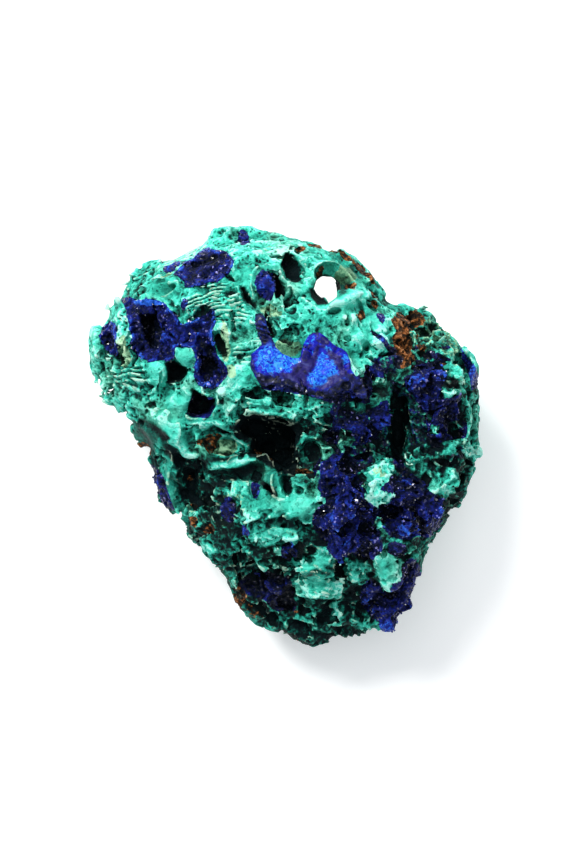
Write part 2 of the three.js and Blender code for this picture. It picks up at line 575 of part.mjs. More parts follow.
// Cushions of tiny crystals, with larger crystals standing on them.
function druseSolid(name, extra) {
  const { cushions, crystals } = DRUSES[name];
  const random = seededRandom(name.length * 11 + crystals);
  const pads = cushions.map(({ at, half, rise, turn }, i) => {
    const ball = unevenBall([...half, rise + CUSHION_ROOT], extra, i + crystals);
    return solid(ball.translate(0, 0, -CUSHION_ROOT).applyMatrix4(surfaceFrame(at, turn)));
  });
  const grown = Array.from({ length: crystals }, (_, i) => {
    const { at, half, rise, turn } = cushions[i % cushions.length];
    const around = random() * 2 * Math.PI;
    const out = Math.sqrt(random()) * 0.6;
    const height = Math.sqrt(1 - out ** 2);
    const [dx, dy] = [Math.cos(around) * out, Math.sin(around) * out];
    const top = (rise + CUSHION_ROOT) * height - CUSHION_ROOT;
    const root = new THREE.Vector3(dx * half[0], dy * half[1], top - 0.1);
    const spread = () => (random() - 0.5) * CRYSTAL.spread;
    const tip = new THREE.Vector3(dx + spread(), dy + spread(), height + 0.4).normalize();
    const size = (0.7 + 0.6 * random()) * Math.min(1, Math.min(...half) * 1.4);
    const spin = random() * 6;
    return solid(placedCrystal(root, tip, size, spin).applyMatrix4(surfaceFrame(at, turn)));
  });
  return largest(wasm.Manifold.union(extra ? pads : [...pads, ...grown]));
}

// ---- The assembly ----

function rockSolid() {
  const added = [
    ...KNOBS.map(knobSolid),
    ...LEDGES.map(ledgeSolid),
    ...RIB_STACKS.flatMap(ribSolids),
  ];
  const cut = [
    ...Object.values(HOLLOWS).map((hollow) => hollowSolid(hollow)),
    holeSolid(),
    scoopSolid(),
    massSolid(GAP),
    ...Object.keys(DRUSES).map((name) => druseSolid(name, GAP)),
  ];
  const whole = wasm.Manifold.union([stoneForm(), ...added]);
  return largest(whole.subtract(wasm.Manifold.union(cut)));
}

const malachite = new THREE.MeshStandardMaterial({ color: COLOURS.malachite, roughness: 0.6 });
const azurite = new THREE.MeshStandardMaterial({ color: COLOURS.azurite, roughness: 0.25 });

function namedMesh(name, made, material) {
  const mesh = new THREE.Mesh(geometryOf(made), material);
  mesh.name = name;
  return mesh;
}

const stone = new THREE.Group();
stone.add(namedMesh("malachite_body", rockSolid(), malachite));
Object.keys(CRUSTS).forEach((name) => stone.add(namedMesh(name, crustSolid(name), azurite)));
stone.add(namedMesh("azurite_mass", massSolid(0), azurite));
Object.keys(DRUSES).forEach((name) => stone.add(namedMesh(name, druseSolid(name, 0), azurite)));

// The origin is the middle of the bounding box, on the rest face.
const box = new THREE.Box3().setFromObject(stone);
const middle = box.getCenter(new THREE.Vector3());
stone.position.set(-middle.x, -middle.y, 0);
stone.updateMatrixWorld(true);

export default stone;
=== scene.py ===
# %% [markdown]
# # A porous stone of malachite and azurite
# A loose hand specimen, nineteen millimetres long: turquoise malachite eaten into hollows and thin walls, a
# hole right through it, and deep blue azurite in its hollows and over one side. It lies on a flat break
# face, and its showy face looks up. The imported model gives its size, its outline and its main hollows. This
# lesson gives it the surface that a real stone has, and the minerals' own finishes.
#
# The imported model is loaded first, and its box is kept, because the field that is carved is laid out over
# it.

# %% Load the frame
import math

import bpy
import numpy as np
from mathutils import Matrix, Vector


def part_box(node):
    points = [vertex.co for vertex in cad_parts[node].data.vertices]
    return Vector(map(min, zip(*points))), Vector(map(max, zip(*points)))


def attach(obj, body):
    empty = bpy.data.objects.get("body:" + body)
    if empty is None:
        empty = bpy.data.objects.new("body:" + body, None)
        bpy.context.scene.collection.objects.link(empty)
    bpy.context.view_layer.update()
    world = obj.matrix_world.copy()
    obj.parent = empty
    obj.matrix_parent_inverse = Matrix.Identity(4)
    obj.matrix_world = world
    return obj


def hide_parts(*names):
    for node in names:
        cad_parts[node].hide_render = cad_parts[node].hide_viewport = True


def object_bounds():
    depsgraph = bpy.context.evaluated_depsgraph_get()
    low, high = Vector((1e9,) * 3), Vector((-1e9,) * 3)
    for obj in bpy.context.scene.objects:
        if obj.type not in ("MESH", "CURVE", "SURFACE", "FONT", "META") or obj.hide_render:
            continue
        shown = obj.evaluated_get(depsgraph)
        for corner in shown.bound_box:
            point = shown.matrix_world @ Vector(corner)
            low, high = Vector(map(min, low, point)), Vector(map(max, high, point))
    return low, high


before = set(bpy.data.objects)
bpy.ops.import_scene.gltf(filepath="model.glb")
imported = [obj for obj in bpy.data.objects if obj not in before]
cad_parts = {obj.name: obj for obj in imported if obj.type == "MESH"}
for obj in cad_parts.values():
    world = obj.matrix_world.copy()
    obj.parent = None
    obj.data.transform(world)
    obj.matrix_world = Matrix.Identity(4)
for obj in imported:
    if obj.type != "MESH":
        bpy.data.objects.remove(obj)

import openvdb
from mathutils import Matrix, Vector

MM = 0.001
cad_low, cad_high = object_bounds()
print("model box, mm:", [round(side / MM, 2) for side in cad_high - cad_low])

# %% [markdown]
# The stone is laid out on a sketch of its showy face, because that is how a maker would note where each
# hollow goes. One sketch unit is 0.0445 mm, u runs to the right and v runs down. A helper turns a sketch
# place into millimetres in the model's frame.

# %% The sketch
UNIT = 0.0445  # millimetres in one sketch unit
SKETCH_SIZE = (576, 864)
SKETCH_MIDDLE = (287.5, 437.5)
SKETCH_SHIFT = (0.108, -0.048)  # millimetres


def place(u, v):
    """A sketch place in millimetres of the model's frame."""
    x = (u - SKETCH_MIDDLE[0]) * UNIT + SKETCH_SHIFT[0]
    y = (SKETCH_MIDDLE[1] - v) * UNIT + SKETCH_SHIFT[1]
    return x, y


print("sketch, mm:", [round(side * UNIT, 1) for side in SKETCH_SIZE])

# %% [markdown]
# The camera looks straight down on the showy face, with the narrow foot towards the bottom of the picture.
# A real camera would be a hand's breadth away. A long lens from further off gives the same view without
# making the near parts larger than the sketch says, so the view is made that way.

# %% Camera
LENS = 400
SENSOR = 36
SKETCH_HEIGHT = SKETCH_SIZE[1] * UNIT
FOCUS_LEVEL = 6.5  # millimetres over the floor, where one sketch unit is seen true
camera_x, camera_y = place(SKETCH_SIZE[0] / 2, SKETCH_SIZE[1] / 2)
camera_z = FOCUS_LEVEL + SKETCH_HEIGHT * LENS / SENSOR
bpy.ops.object.camera_add(location=(camera_x * MM, camera_y * MM, camera_z * MM), rotation=(0, 0, 0))
camera = bpy.context.object
camera.name = "view_camera"
camera.data.lens = LENS
camera.data.sensor_width = SENSOR
camera.data.clip_start = 0.01
bpy.context.scene.camera = camera
print("camera height, mm:", round(camera_z, 1))

# %% [markdown]
# A plain pale floor and soft lights, as on a small product table. The key light stands at the upper left,
# so the hollows' upper left walls fall dark and the thin ridges catch light. A weak fill keeps the right
# side readable. The lamps are hidden from the camera, because other views look at the stone from low
# angles.

# %% Floor and lights
FLOOR_SIZE = 2.4
LAMPS = {  # place in metres, size, power, colour
    "key": ((-0.18, 0.24, 0.38), 0.22, 2.85, (1.0, 0.99, 0.97)),
    "top": ((0.02, 0.05, 0.55), 0.40, 0.8, (0.97, 0.99, 1.0)),
    "fill": ((0.26, -0.26, 0.42), 0.40, 0.6, (0.94, 0.97, 1.0)),
    "back": ((0.05, 0.42, 0.10), 0.20, 0.8, (1.0, 1.0, 1.0)),
}
LAMP_AIM = Vector((0, 0, 0.006))
SKY_COLOUR = (0.85, 0.92, 1.0, 1)
SKY_STRENGTH = 0.3

bpy.ops.object.select_all(action="DESELECT")
bpy.ops.mesh.primitive_plane_add(size=FLOOR_SIZE, location=(0, 0, 0))
floor = bpy.context.object
floor.name = "floor"

for name, (where, size, power, colour) in LAMPS.items():
    aim = (LAMP_AIM - Vector(where)).to_track_quat("-Z", "Y")
    bpy.ops.object.light_add(type="AREA", location=where, rotation=aim.to_euler())
    lamp = bpy.context.object
    lamp.name = f"lamp_{name}"
    lamp.data.shape = "DISK"
    lamp.data.size = size
    lamp.data.energy = power
    lamp.data.color = colour
    lamp.visible_camera = False

world = bpy.data.worlds.new("studio")
bpy.context.scene.world = world
world.use_nodes = True
sky = world.node_tree.nodes["Background"].inputs
sky["Color"].default_value = SKY_COLOUR
sky["Strength"].default_value = SKY_STRENGTH
bpy.context.scene.view_settings.view_transform = "Standard"
print("lamps:", len(LAMPS))

# %% [markdown]
# ## The rock as a solid that can be carved
# A porous rock has walls thinner than a hair, ledges that hang over and holes that meet inside it.
# Edit-mode tools would tear on such a shape. Sculptors of rock meet the same trouble and carve it as a
# volume: every small cell of space knows how far it is from the surface, a cut is the larger of two
# distances and a lump is the smaller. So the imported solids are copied, merged and turned into such a field
# of distances.

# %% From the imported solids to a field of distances
CELL = 0.06  # millimetres, as all that follows
COARSE = 2 * CELL
MARGIN = 0.66
BAND = 1.3  # how far from the surface distances are kept
SAME_PLACE = 1e-7
SOFTENING = 0.13
SPARE = 0.11  # left on for the carving to take away

low = np.array(cad_low) / MM - MARGIN
coarse_shape = np.ceil((np.array(cad_high) / MM + MARGIN - low) / COARSE).astype(int) + 1
fine_shape = 2 * coarse_shape - 1


def select_only(piece):
    """Selects one object and nothing else."""
    bpy.ops.object.select_all(action="DESELECT")
    piece.select_set(True)
    bpy.context.view_layer.objects.active = piece


def read_out(items, key, kind=np.float32, width=3):
    """One property of a mesh's items, as the rows of an array."""
    values = np.zeros(len(items) * width, kind)
    items.foreach_get(key, values)
    return values.reshape(-1, width)


def merged_copy(name):
    """The merged vertices, in millimetres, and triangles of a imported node's copy."""
    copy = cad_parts[name].copy()
    copy.data = copy.data.copy()
    bpy.context.scene.collection.objects.link(copy)
    select_only(copy)
    bpy.ops.object.mode_set(mode="EDIT")
    bpy.ops.mesh.select_all(action="SELECT")
    bpy.ops.mesh.remove_doubles(threshold=SAME_PLACE)
    bpy.ops.object.mode_set(mode="OBJECT")
    points = read_out(copy.data.vertices, "co") / MM
    copy.data.calc_loop_triangles()
    faces = read_out(copy.data.loop_triangles, "vertices", np.int32).astype(np.uint32)
    bpy.data.objects.remove(copy)
    return points, faces


def distance_field(name):
    """Distance to a node's surface over the coarse cells, in millimetres, negative inside."""
    points, faces = merged_copy(name)
    grid = openvdb.FloatGrid.createLevelSetFromPolygons(
        ((points - low) / COARSE).astype(np.float32), triangles=faces, halfWidth=BAND / COARSE
    )
    field = np.zeros(coarse_shape, np.float32)
    grid.copyToArray(field)
    return field * COARSE


def edged(field, size, axis):
    """A field with its edge repeated at both ends of one axis, which then comes first."""
    pad = [(size * (a == axis),) * 2 for a in range(field.ndim)]
    return np.moveaxis(np.pad(field, pad, "edge"), axis, 0)


def lined_up(values, axis, sides=3):
    """A row of values, shaped to lie along one axis."""
    return values.reshape([-1 if a == axis else 1 for a in range(sides)])


def blur(field, reach):
    """Softens a field along each of its sides. The reach is counted in cells."""
    size = max(1, math.ceil(2.4 * reach))
    weights = np.exp(-0.5 * (np.arange(-size, size + 1) / reach) ** 2)
    weights = (weights / weights.sum()).astype(np.float32)
    for axis in range(field.ndim):
        moved = edged(field, size, axis)
        count = field.shape[axis]
        total = weights[0] * moved[:count]
        for i in range(1, len(weights)):
            total += weights[i] * moved[i : i + count]
        field = np.moveaxis(total, 0, axis)
    return np.ascontiguousarray(field)


def stretch(field, shape):
    """A field spread over more cells, straight between its own."""
    for axis, count in enumerate(shape):
        spots = np.linspace(0, field.shape[axis] - 1, count)
        before = np.minimum(spots.astype(int), field.shape[axis] - 2)
        share = lined_up((spots - before).astype(np.float32), axis, field.ndim)
        field = np.take(field, before, axis) * (1 - share) + np.take(field, before + 1, axis) * share
    return np.ascontiguousarray(field)


node_fields = {name: distance_field(name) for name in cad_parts}
together = np.minimum.reduce(list(node_fields.values()))
stone = stretch(blur(together, SOFTENING / COARSE), fine_shape) - SPARE
print("cells:", fine_shape, "filled share:", round(float((stone < 0).mean()), 3))

# %% [markdown]
# Stone surfaces wander at every scale. Smooth noise over the whole block is made from random numbers on a
# loose lattice, spread with bell-shaped weights. One sheet of it bends the carver's tools too, so that no
# hollow comes out as a perfect oval. Every random draw is seeded, so each run gives the same stone.

# %% Noise and carving tools
axes = [(low[a] + CELL * np.arange(fine_shape[a])).astype(np.float32) for a in range(3)]


def lattice_noise(seed, wave):
    """Smooth noise, about -1 to 1, over the fine cells. The wave is in millimetres."""
    random = np.random.default_rng(seed)
    sizes = [int(np.ceil(CELL * n / wave)) + 4 for n in fine_shape]
    field = random.uniform(-1, 1, sizes).astype(np.float32)
    for axis in (2, 1, 0):
        spots = CELL * np.arange(fine_shape[axis]) / wave + 1.5
        first = spots.astype(int) - 1
        share = lined_up((spots % 1).astype(np.float32), axis)
        total = (1 - share) ** 3 / 6 * field.take(first, axis)
        total += (share**3 / 2 - share**2 + 2 / 3) * field.take(first + 1, axis)
        total += ((1 - share) ** 3 / 2 - (1 - share) ** 2 + 2 / 3) * field.take(first + 2, axis)
        total += share**3 / 6 * field.take(first + 3, axis)
        field = total
    return 1.6 * field


warp = [lattice_noise(40 + a, 0.55) + 0.4 * lattice_noise(44 + a, 0.25) for a in range(3)]


def soft_max(a, b, soft):
    """The larger of two fields, with a rounded crease where they meet."""
    return np.maximum(a, b) + np.clip(soft - np.abs(a - b), 0, None) ** 2 / (4 * soft)


def soft_min(a, b, soft):
    """The smaller of two fields, with a rounded crease where they meet."""
    return -soft_max(-a, -b, soft)


class Tool:
    """A turned ball at a place, over the cells that it can reach."""

    def __init__(self, centre, half, frame_axes, reach=0.5, bend=0.12):
        size = max(half) + reach
        first = [int(max(0, (centre[a] - size - low[a]) / CELL)) for a in range(3)]
        last = [int(min(fine_shape[a], (centre[a] + size - low[a]) / CELL + 1)) for a in range(3)]
        self.cells = tuple(slice(f, max(f, t)) for f, t in zip(first, last))
        self.empty = any(f >= t for f, t in zip(first, last))
        offsets = []
        for a in range(3):
            line = lined_up(axes[a][self.cells[a]] - centre[a], a)
            offsets.append(line + bend * warp[a][self.cells])
        self.local = [sum(axis[a] * offsets[a] for a in range(3)) for axis in frame_axes]
        self.half = half

    def ball(self, extra=0.0):
        """Distance to a ball drawn out to the half sizes."""
        scaled = [p / (h + extra) for p, h in zip(self.local, self.half)]
        tight = [p / (h + extra) ** 2 for p, h in zip(self.local, self.half)]
        k0 = np.sqrt(sum(s * s for s in scaled))
        k1 = np.sqrt(sum(t * t for t in tight))
        return k0 * (k0 - 1) / np.maximum(k1, 1e-6)

    def wall(self):
        """Distance to a thin upright wall with round ends."""
        along, across, out = self.local
        long, thick, tall = self.half
        side = np.hypot(np.maximum(np.abs(along) - long, 0), across) - thick
        return soft_max(side, np.abs(out) - tall, 0.05)

    def block(self):
        """Distance to a flat-sided block."""
        beyond = [np.abs(p) - h for p, h in zip(self.local, self.half)]
        outside = np.sqrt(sum(np.maximum(b, 0) ** 2 for b in beyond))
        return outside + np.minimum(np.maximum.reduce(beyond), 0)


def face_axes(turn, normal=(0, 0, 1)):
    """Right, up and out directions of a tool, turned on a surface that looks along the normal."""
    swing = Vector((0, 0, 1)).rotation_difference(Vector(normal)).to_matrix()
    turned = swing @ Matrix.Rotation(math.radians(turn), 3, "Z")
    return [tuple(turned.col[i]) for i in range(3)]


def outline_distance(x, y, corners):
    """Distance to a closed outline of the sketch, negative inside it."""
    spots = [place(u, v) for u, v in corners]
    apart, inside = np.inf, False
    for (x0, y0), (x1, y1) in zip(spots, spots[1:] + spots[:1]):
        from_x, from_y = x - x0, y - y0
        side = (x1 - x0) ** 2 + (y1 - y0) ** 2
        share = np.clip((from_x * (x1 - x0) + from_y * (y1 - y0)) / side, 0, 1)
        apart = np.minimum(apart, (from_x - share * (x1 - x0)) ** 2 + (from_y - share * (y1 - y0)) ** 2)
        crossing = ((y0 > y) != (y1 > y)) & (from_x < (x1 - x0) * from_y / (y1 - y0 or 1))
        inside = inside ^ crossing
    return np.where(inside, -1, 1) * np.sqrt(apart)


print("warp strength:", round(float(np.abs(warp[0]).mean()), 3))

# %% [markdown]
# Before anything is cut, the showy face needs a level to measure from, as if every hollow were still full.
# The highest surface over each place is found, then closed with a wide disc, which is what laying a sheet
# of card over the stone would do. Tools are set on that level, so a hollow's rim comes out where the sketch
# has it.

# %% The level of the closed face
CLOSING = 1.1  # radius of the disc
LEVEL_SOFTENING = 0.3


def top_level(field):
    """Height of the highest surface over each column of cells, in millimetres."""
    filled = field < 0
    top = np.minimum(filled.shape[2] - 1 - np.argmax(filled[:, :, ::-1], axis=2), filled.shape[2] - 2)
    inside = np.take_along_axis(field, top[:, :, None], 2)[:, :, 0]
    outside = np.take_along_axis(field, top[:, :, None] + 1, 2)[:, :, 0]
    share = np.clip(inside / np.minimum(inside - outside, -1e-6), 0, 1)
    return np.where(filled.any(2), low[2] + CELL * (top + share), 0)


def widest(sheet, size, pick):
    """The largest or smallest value of a sheet within a square of cells."""
    for axis in (0, 1):
        moved = edged(sheet, size, axis)
        count = sheet.shape[axis]
        sheet = np.moveaxis(pick.reduce([moved[i : i + count] for i in range(2 * size + 1)]), 0, axis)
    return sheet


disc = round(CLOSING / CELL)
open_level = top_level(stone)
closed_level = widest(widest(open_level, disc, np.maximum), disc, np.minimum)
closed_level = blur(closed_level.astype(np.float32), LEVEL_SOFTENING / CELL)


def level_at(x, y):
    """Height of the closed face at some places."""
    i = np.clip((np.asarray(x) - low[0]) / CELL, 0, fine_shape[0] - 1.01)
    j = np.clip((np.asarray(y) - low[1]) / CELL, 0, fine_shape[1] - 1.01)
    i0, j0 = i.astype(int), j.astype(int)
    fi, fj = i - i0, j - j0
    near = closed_level[i0, j0] * (1 - fj) + closed_level[i0, j0 + 1] * fj
    far = closed_level[i0 + 1, j0] * (1 - fj) + closed_level[i0 + 1, j0 + 1] * fj
    return near * (1 - fi) + far * fi


print("closed face, mm:", round(float(closed_level.max()), 2))

# %% [markdown]
# The carving is noted down first, row by row, as a maker would mark a block. Here the stone swells out.
# Each row is a place and half sizes on the sketch, a turn in degrees and a rise. A ball is quick to place,
# and a soft join hides that it was one.

# %% Swellings
KNOBS = [
    (338, 302, 26, 9, 14, 0.55), (345, 321, 15, 8, 5, 0.4), (357, 338, 10, 9, 0, 0.35),
    (379, 343, 12, 9, -10, 0.45), (159, 371, 10, 12, 20, 0.35), (184, 358, 9, 9, 0, 0.4),
    (176, 404, 10, 8, -20, 0.3), (232, 410, 8, 7, 0, 0.25), (372, 484, 12, 18, 10, 0.4),
    (385, 468, 10, 8, 0, 0.4), (422, 465, 8, 14, -25, 0.4), (443, 480, 13, 12, 0, 0.5),
    (477, 452, 8, 8, 0, 0.4), (270, 506, 28, 14, 10, 0.35), (306, 505, 20, 15, 0, 0.5),
    (320, 566, 24, 14, 10, 0.5), (318, 588, 24, 12, -5, 0.5), (391, 572, 15, 20, 0, 0.5),
    (357, 573, 12, 12, 0, 0.4), (340, 614, 8, 8, 0, 0.4), (278, 612, 9, 8, 0, 0.4),
    (235, 535, 7, 6, 0, 0.3), (247, 550, 6, 6, 0, 0.3), (281, 552, 7, 6, 0, 0.3), (262, 565, 6, 6, 0, 0.3),
    (383, 527, 6, 6, 0, 0.3), (400, 523, 6, 6, 0, 0.3), (398, 548, 6, 6, 0, 0.3),
    (220, 400, 14, 6, 30, 0.25), (237, 375, 26, 9, 42, 0.35), (360, 575, 9, 9, 0, 0.3),
]
print("swellings:", len(KNOBS))

# %% [markdown]
# Azurite grew where there was room: as a lining in five hollows and as one mass. The eye knows these forms
# by their outline, which a ball can't give, so they are drawn corner by corner. The eye-shaped hollow also
# has a standing rim, which is noted as a room that the azurite half fills.

# %% Where the azurite lies
ROOMS = [(267, 285, 15, 20, 0, 1.3, 0.2)]
OUTLINES = {  # where azurite lines a hollow or stands as a mass
    "azurite_crust_top": [
        (174, 275), (180, 270), (184, 264), (194, 258), (199, 251), (208, 247), (217, 251), (226, 252),
        (230, 257), (235, 262), (234, 269), (227, 276), (218, 284), (203, 285), (196, 288), (187, 288),
        (183, 281),
    ],
    "azurite_crust_twin": [
        (122, 299), (130, 296), (137, 300), (147, 299), (160, 301), (168, 306), (171, 312), (176, 313),
        (180, 319), (184, 326), (190, 323), (199, 319), (207, 317), (211, 311), (215, 312), (217, 322),
        (214, 330), (214, 342), (217, 352), (222, 362), (227, 367), (228, 375), (222, 385), (214, 390),
        (205, 389), (198, 385), (194, 376), (196, 362), (193, 350), (184, 348), (177, 350), (174, 360),
        (171, 363), (160, 361), (150, 362), (140, 357), (134, 352), (132, 344), (134, 338), (130, 330),
        (128, 318), (124, 306),
    ],
    "azurite_crust_edge": [
        (98, 334), (103, 325), (109, 320), (115, 323), (118, 330), (117, 342), (119, 352), (118, 358),
        (111, 356), (106, 349), (103, 341),
    ],
    "azurite_crust_eye": [
        (257, 277), (263, 272), (268, 273), (273, 280), (275, 290), (273, 298), (271, 303), (263, 299),
        (258, 293), (255, 285),
    ],
    "azurite_mass": [
        (256, 318), (261, 316), (266, 322), (269, 332), (273, 342), (275, 350), (284, 355), (292, 358),
        (300, 358), (301, 352), (303, 345), (308, 337), (313, 333), (320, 334), (328, 340), (336, 346),
        (345, 354), (350, 362), (351, 370), (357, 376), (363, 382), (366, 392), (367, 400), (360, 398),
        (350, 391), (340, 392), (335, 399), (325, 399), (312, 397), (300, 391), (288, 387), (275, 384),
        (268, 387), (260, 384), (256, 378), (252, 366), (251, 356), (256, 351), (262, 347), (260, 338),
        (257, 328),
    ],
}
print("outlines:", len(OUTLINES))

# %% [markdown]
# The larger hollows have shapes of their own too: a cave with a flat roof, rooms with steep walls, thin
# slits and the hole right through. They are cut to outlines, with walls that lean a little as they go down.
# Outlines that are used twice are drawn once and called by name.

# %% Cavities
FORMS = {
    "crescent": [(262, 484), (267, 482), (273, 485), (278, 491), (279, 497), (274, 496), (268, 490)],
    "slot": [(286, 254), (295, 257), (299, 268), (300, 282), (294, 284), (286, 278), (281, 266)],
    "slit": [(240, 288), (245, 289), (252, 299), (258, 307), (254, 312), (246, 306), (241, 297)],
    "hole_lip": [(310, 290), (318, 293), (324, 300), (327, 305), (316, 305), (311, 299)],
    "rib": [(450, 424), (458, 422), (460, 426), (453, 431), (449, 433)],
    "low_rib": [(444, 442), (458, 438), (461, 443), (452, 451), (444, 456), (441, 450)],
    "fin": [(401, 449), (406, 456), (418, 459), (428, 467), (436, 478), (428, 479), (416, 470), (405, 462)],
    "blue_edge": [(461, 347), (466, 356), (473, 365), (480, 378), (481, 389), (471, 389), (467, 374),
        (461, 362)],
}
CAVITIES = [  # cut to an outline: depth, lean of the walls, softness, corners
    (0.45, 0.5, 0.15, OUTLINES["azurite_crust_top"]), (0.5, 0.5, 0.15, OUTLINES["azurite_crust_twin"]),
    (0.4, 0.5, 0.15, OUTLINES["azurite_crust_edge"]),
    (1.5, 0.35, 0.25, [(188, 266), (198, 259), (208, 254), (218, 255), (224, 261), (214, 267), (204, 273),
        (196, 279), (188, 275)]),
    (2.0, 0.15, 0.2, [(137, 310), (148, 311), (160, 312), (161, 330), (159, 348), (150, 353), (145, 346),
        (141, 334), (137, 322)]),
    (1.7, 0.25, 0.25, [(204, 342), (213, 342), (218, 355), (217, 370), (213, 380), (206, 378), (202, 368),
        (204, 354)]),
    (0.9, 0.3, 0.2, [(106, 342), (111, 338), (115, 345), (117, 354), (111, 353)]),
    (1.9, 0.1, 0.15, [(272, 275), (279, 278), (284, 286), (283, 295), (276, 300), (273, 292), (274, 283)]),
    (3.2, 0.08, 0.1, [(236, 428), (243, 418), (254, 415), (272, 418), (292, 424), (298, 434), (296, 448),
        (295, 458), (293, 469), (286, 471), (274, 465), (262, 459), (253, 455), (251, 441), (242, 436)]),
    (1.1, 0.5, 0.1, [(294, 420), (315, 424), (332, 424), (330, 432), (312, 434), (296, 434)]),
    (0.85, 0.45, 0.1, [(196, 438), (202, 430), (213, 427), (227, 430), (238, 435), (251, 443), (252, 455),
        (240, 457), (222, 461), (206, 457), (198, 448)]),
    (1.6, 0.2, 0.1, [(192, 388), (200, 392), (210, 395), (218, 395), (218, 402), (214, 412), (209, 418),
        (200, 419), (191, 416), (186, 413), (190, 402)]),
    (1.5, 0.15, 0.08, [(166, 364), (174, 362), (181, 367), (187, 369), (189, 377), (182, 384), (168, 383),
        (167, 374)]),
    (0.7, 0.1, 0.2, [(207, 470), (225, 469), (245, 466), (258, 463), (266, 470), (262, 479), (240, 480),
        (215, 478)]),
    (1.0, 0.1, 0.06, FORMS["crescent"]),
    (0.5, 0.7, 0.3, [(384, 374), (400, 377), (404, 390), (414, 393), (424, 402), (430, 420), (440, 440),
        (434, 456), (420, 462), (404, 446), (398, 430), (390, 400)]),
    (0.5, 0.3, 0.1, [(412, 389), (438, 385), (442, 396), (462, 396), (466, 408), (462, 436), (440, 440),
        (430, 420), (424, 402)]),
    (0.8, 0.1, 0.06, [(446, 376), (458, 380), (458, 388), (446, 391), (438, 385)]),
    (1.2, 0.1, 0.06, FORMS["slot"]),
    (1.3, 0.3, 0.1, [(178, 462), (200, 462), (206, 480), (205, 500), (194, 512), (184, 500), (179, 480)]),
    (1.0, 0.2, 0.08, FORMS["slit"]),
    (1.2, 0.2, 0.08, [(214, 334), (220, 334), (226, 345), (228, 356), (224, 362), (219, 352), (216, 343)]),
    (30.0, 0.0, 0.08, [(313, 289), (318, 280), (324, 276), (330, 277), (334, 282), (337, 290), (337, 299),
        (332, 303), (327, 306), (324, 300), (318, 295)]),
    (1.6, 0.25, 0.08, FORMS["hole_lip"]),
]
print("cavities:", len(CAVITIES))

# %% [markdown]
# Lesser hollows are round on a real stone as well, because they began as bubbles and soft spots. So balls
# will do, turned and drawn out. The last figure of a row raises a thin wall round the hollow, and nought
# leaves it bare.

# %% Hollows
HOLLOWS = [  # place, half sizes, turn, depth, rise of the wall
    (245, 239, 6, 8, 0, 0.5, 0.1), (219, 236, 4, 3, 0, 0.4, 0.1), (231, 237, 4, 3, 0, 0.4, 0.1),
    (259, 236, 8, 4, -15, 0.4, 0.0), (292, 270, 9, 14, -12, 1.0, 0.14), (289, 297, 4, 9, -12, 0.9, 0.1),
    (331, 284, 23, 22, 0, 1.1, 0.18), (334, 312, 8, 3.5, 6, 0.7, 0.0), (288, 335, 8, 5, 0, 0.8, 0.1),
    (366, 347, 5, 5, 0, 0.8, 0.12), (349, 339, 2.5, 3, 0, 0.4, 0.0), (360, 309, 3, 10, 22, 0.6, 0.0),
    (372, 307, 7, 4, -35, 0.8, 0.0), (373, 295, 4, 4, 0, 0.5, 0.1), (163, 289, 18, 9, -4, 0.4, 0.14),
    (141, 291, 3.5, 3, 0, 0.6, 0.1), (252, 396, 11, 4, -12, 0.8, 0.0), (282, 396, 11, 7, -8, 1.0, 0.1),
    (222, 442, 25, 15, 6, 0.3, 0.12), (286, 484, 6, 11, 5, 1.1, 0.0), (270, 490, 8, 5, -25, 0.9, 0.1),
    (242, 486, 3.5, 2.5, 0, 0.6, 0.1), (298, 491, 5, 4, -30, 0.6, 0.0), (400, 420, 12, 30, 4, 1.1, 0.0),
    (390, 512, 16, 8, -8, 1.2, 0.0), (365, 527, 8, 8, 0, 1.2, 0.1), (283, 528, 4, 3, 0, 0.6, 0.1),
    (237, 560, 10, 8, 10, 0.8, 0.0), (340, 577, 6, 18, 4, 1.1, 0.0), (300, 560, 7, 4, 10, 0.7, 0.1),
    (255, 590, 24, 12, -40, 0.9, 0.0), (346, 602, 8, 5, 0, 0.6, 0.0), (114, 390, 6, 4, 20, 0.8, 0.0),
    (132, 383, 6, 3, -15, 0.5, 0.0), (196, 492, 14, 22, 28, 0.8, 0.0), (330, 437, 14, 9, 20, 1.0, 0.1),
    (310, 452, 12, 14, 0, 1.1, 0.0), (348, 470, 12, 9, -20, 1.1, 0.0), (446, 385, 20, 9, -20, 0.9, 0.0),
    (455, 425, 12, 20, 10, 1.0, 0.0), (428, 520, 9, 14, 20, 0.8, 0.0), (330, 620, 9, 6, 10, 0.8, 0.0),
    (300, 625, 10, 5, -10, 0.8, 0.0),
]
print("hollows:", len(HOLLOWS))

# %% [markdown]
# Where malachite grew as fibres it breaks in thin parallel ledges, cut here as fine grooves that wander.
# The stone's outline is what the eye checks first, so lumps and bites along the edge get rows of their own.
# They stand at a height over the floor, because the closed face ends there.

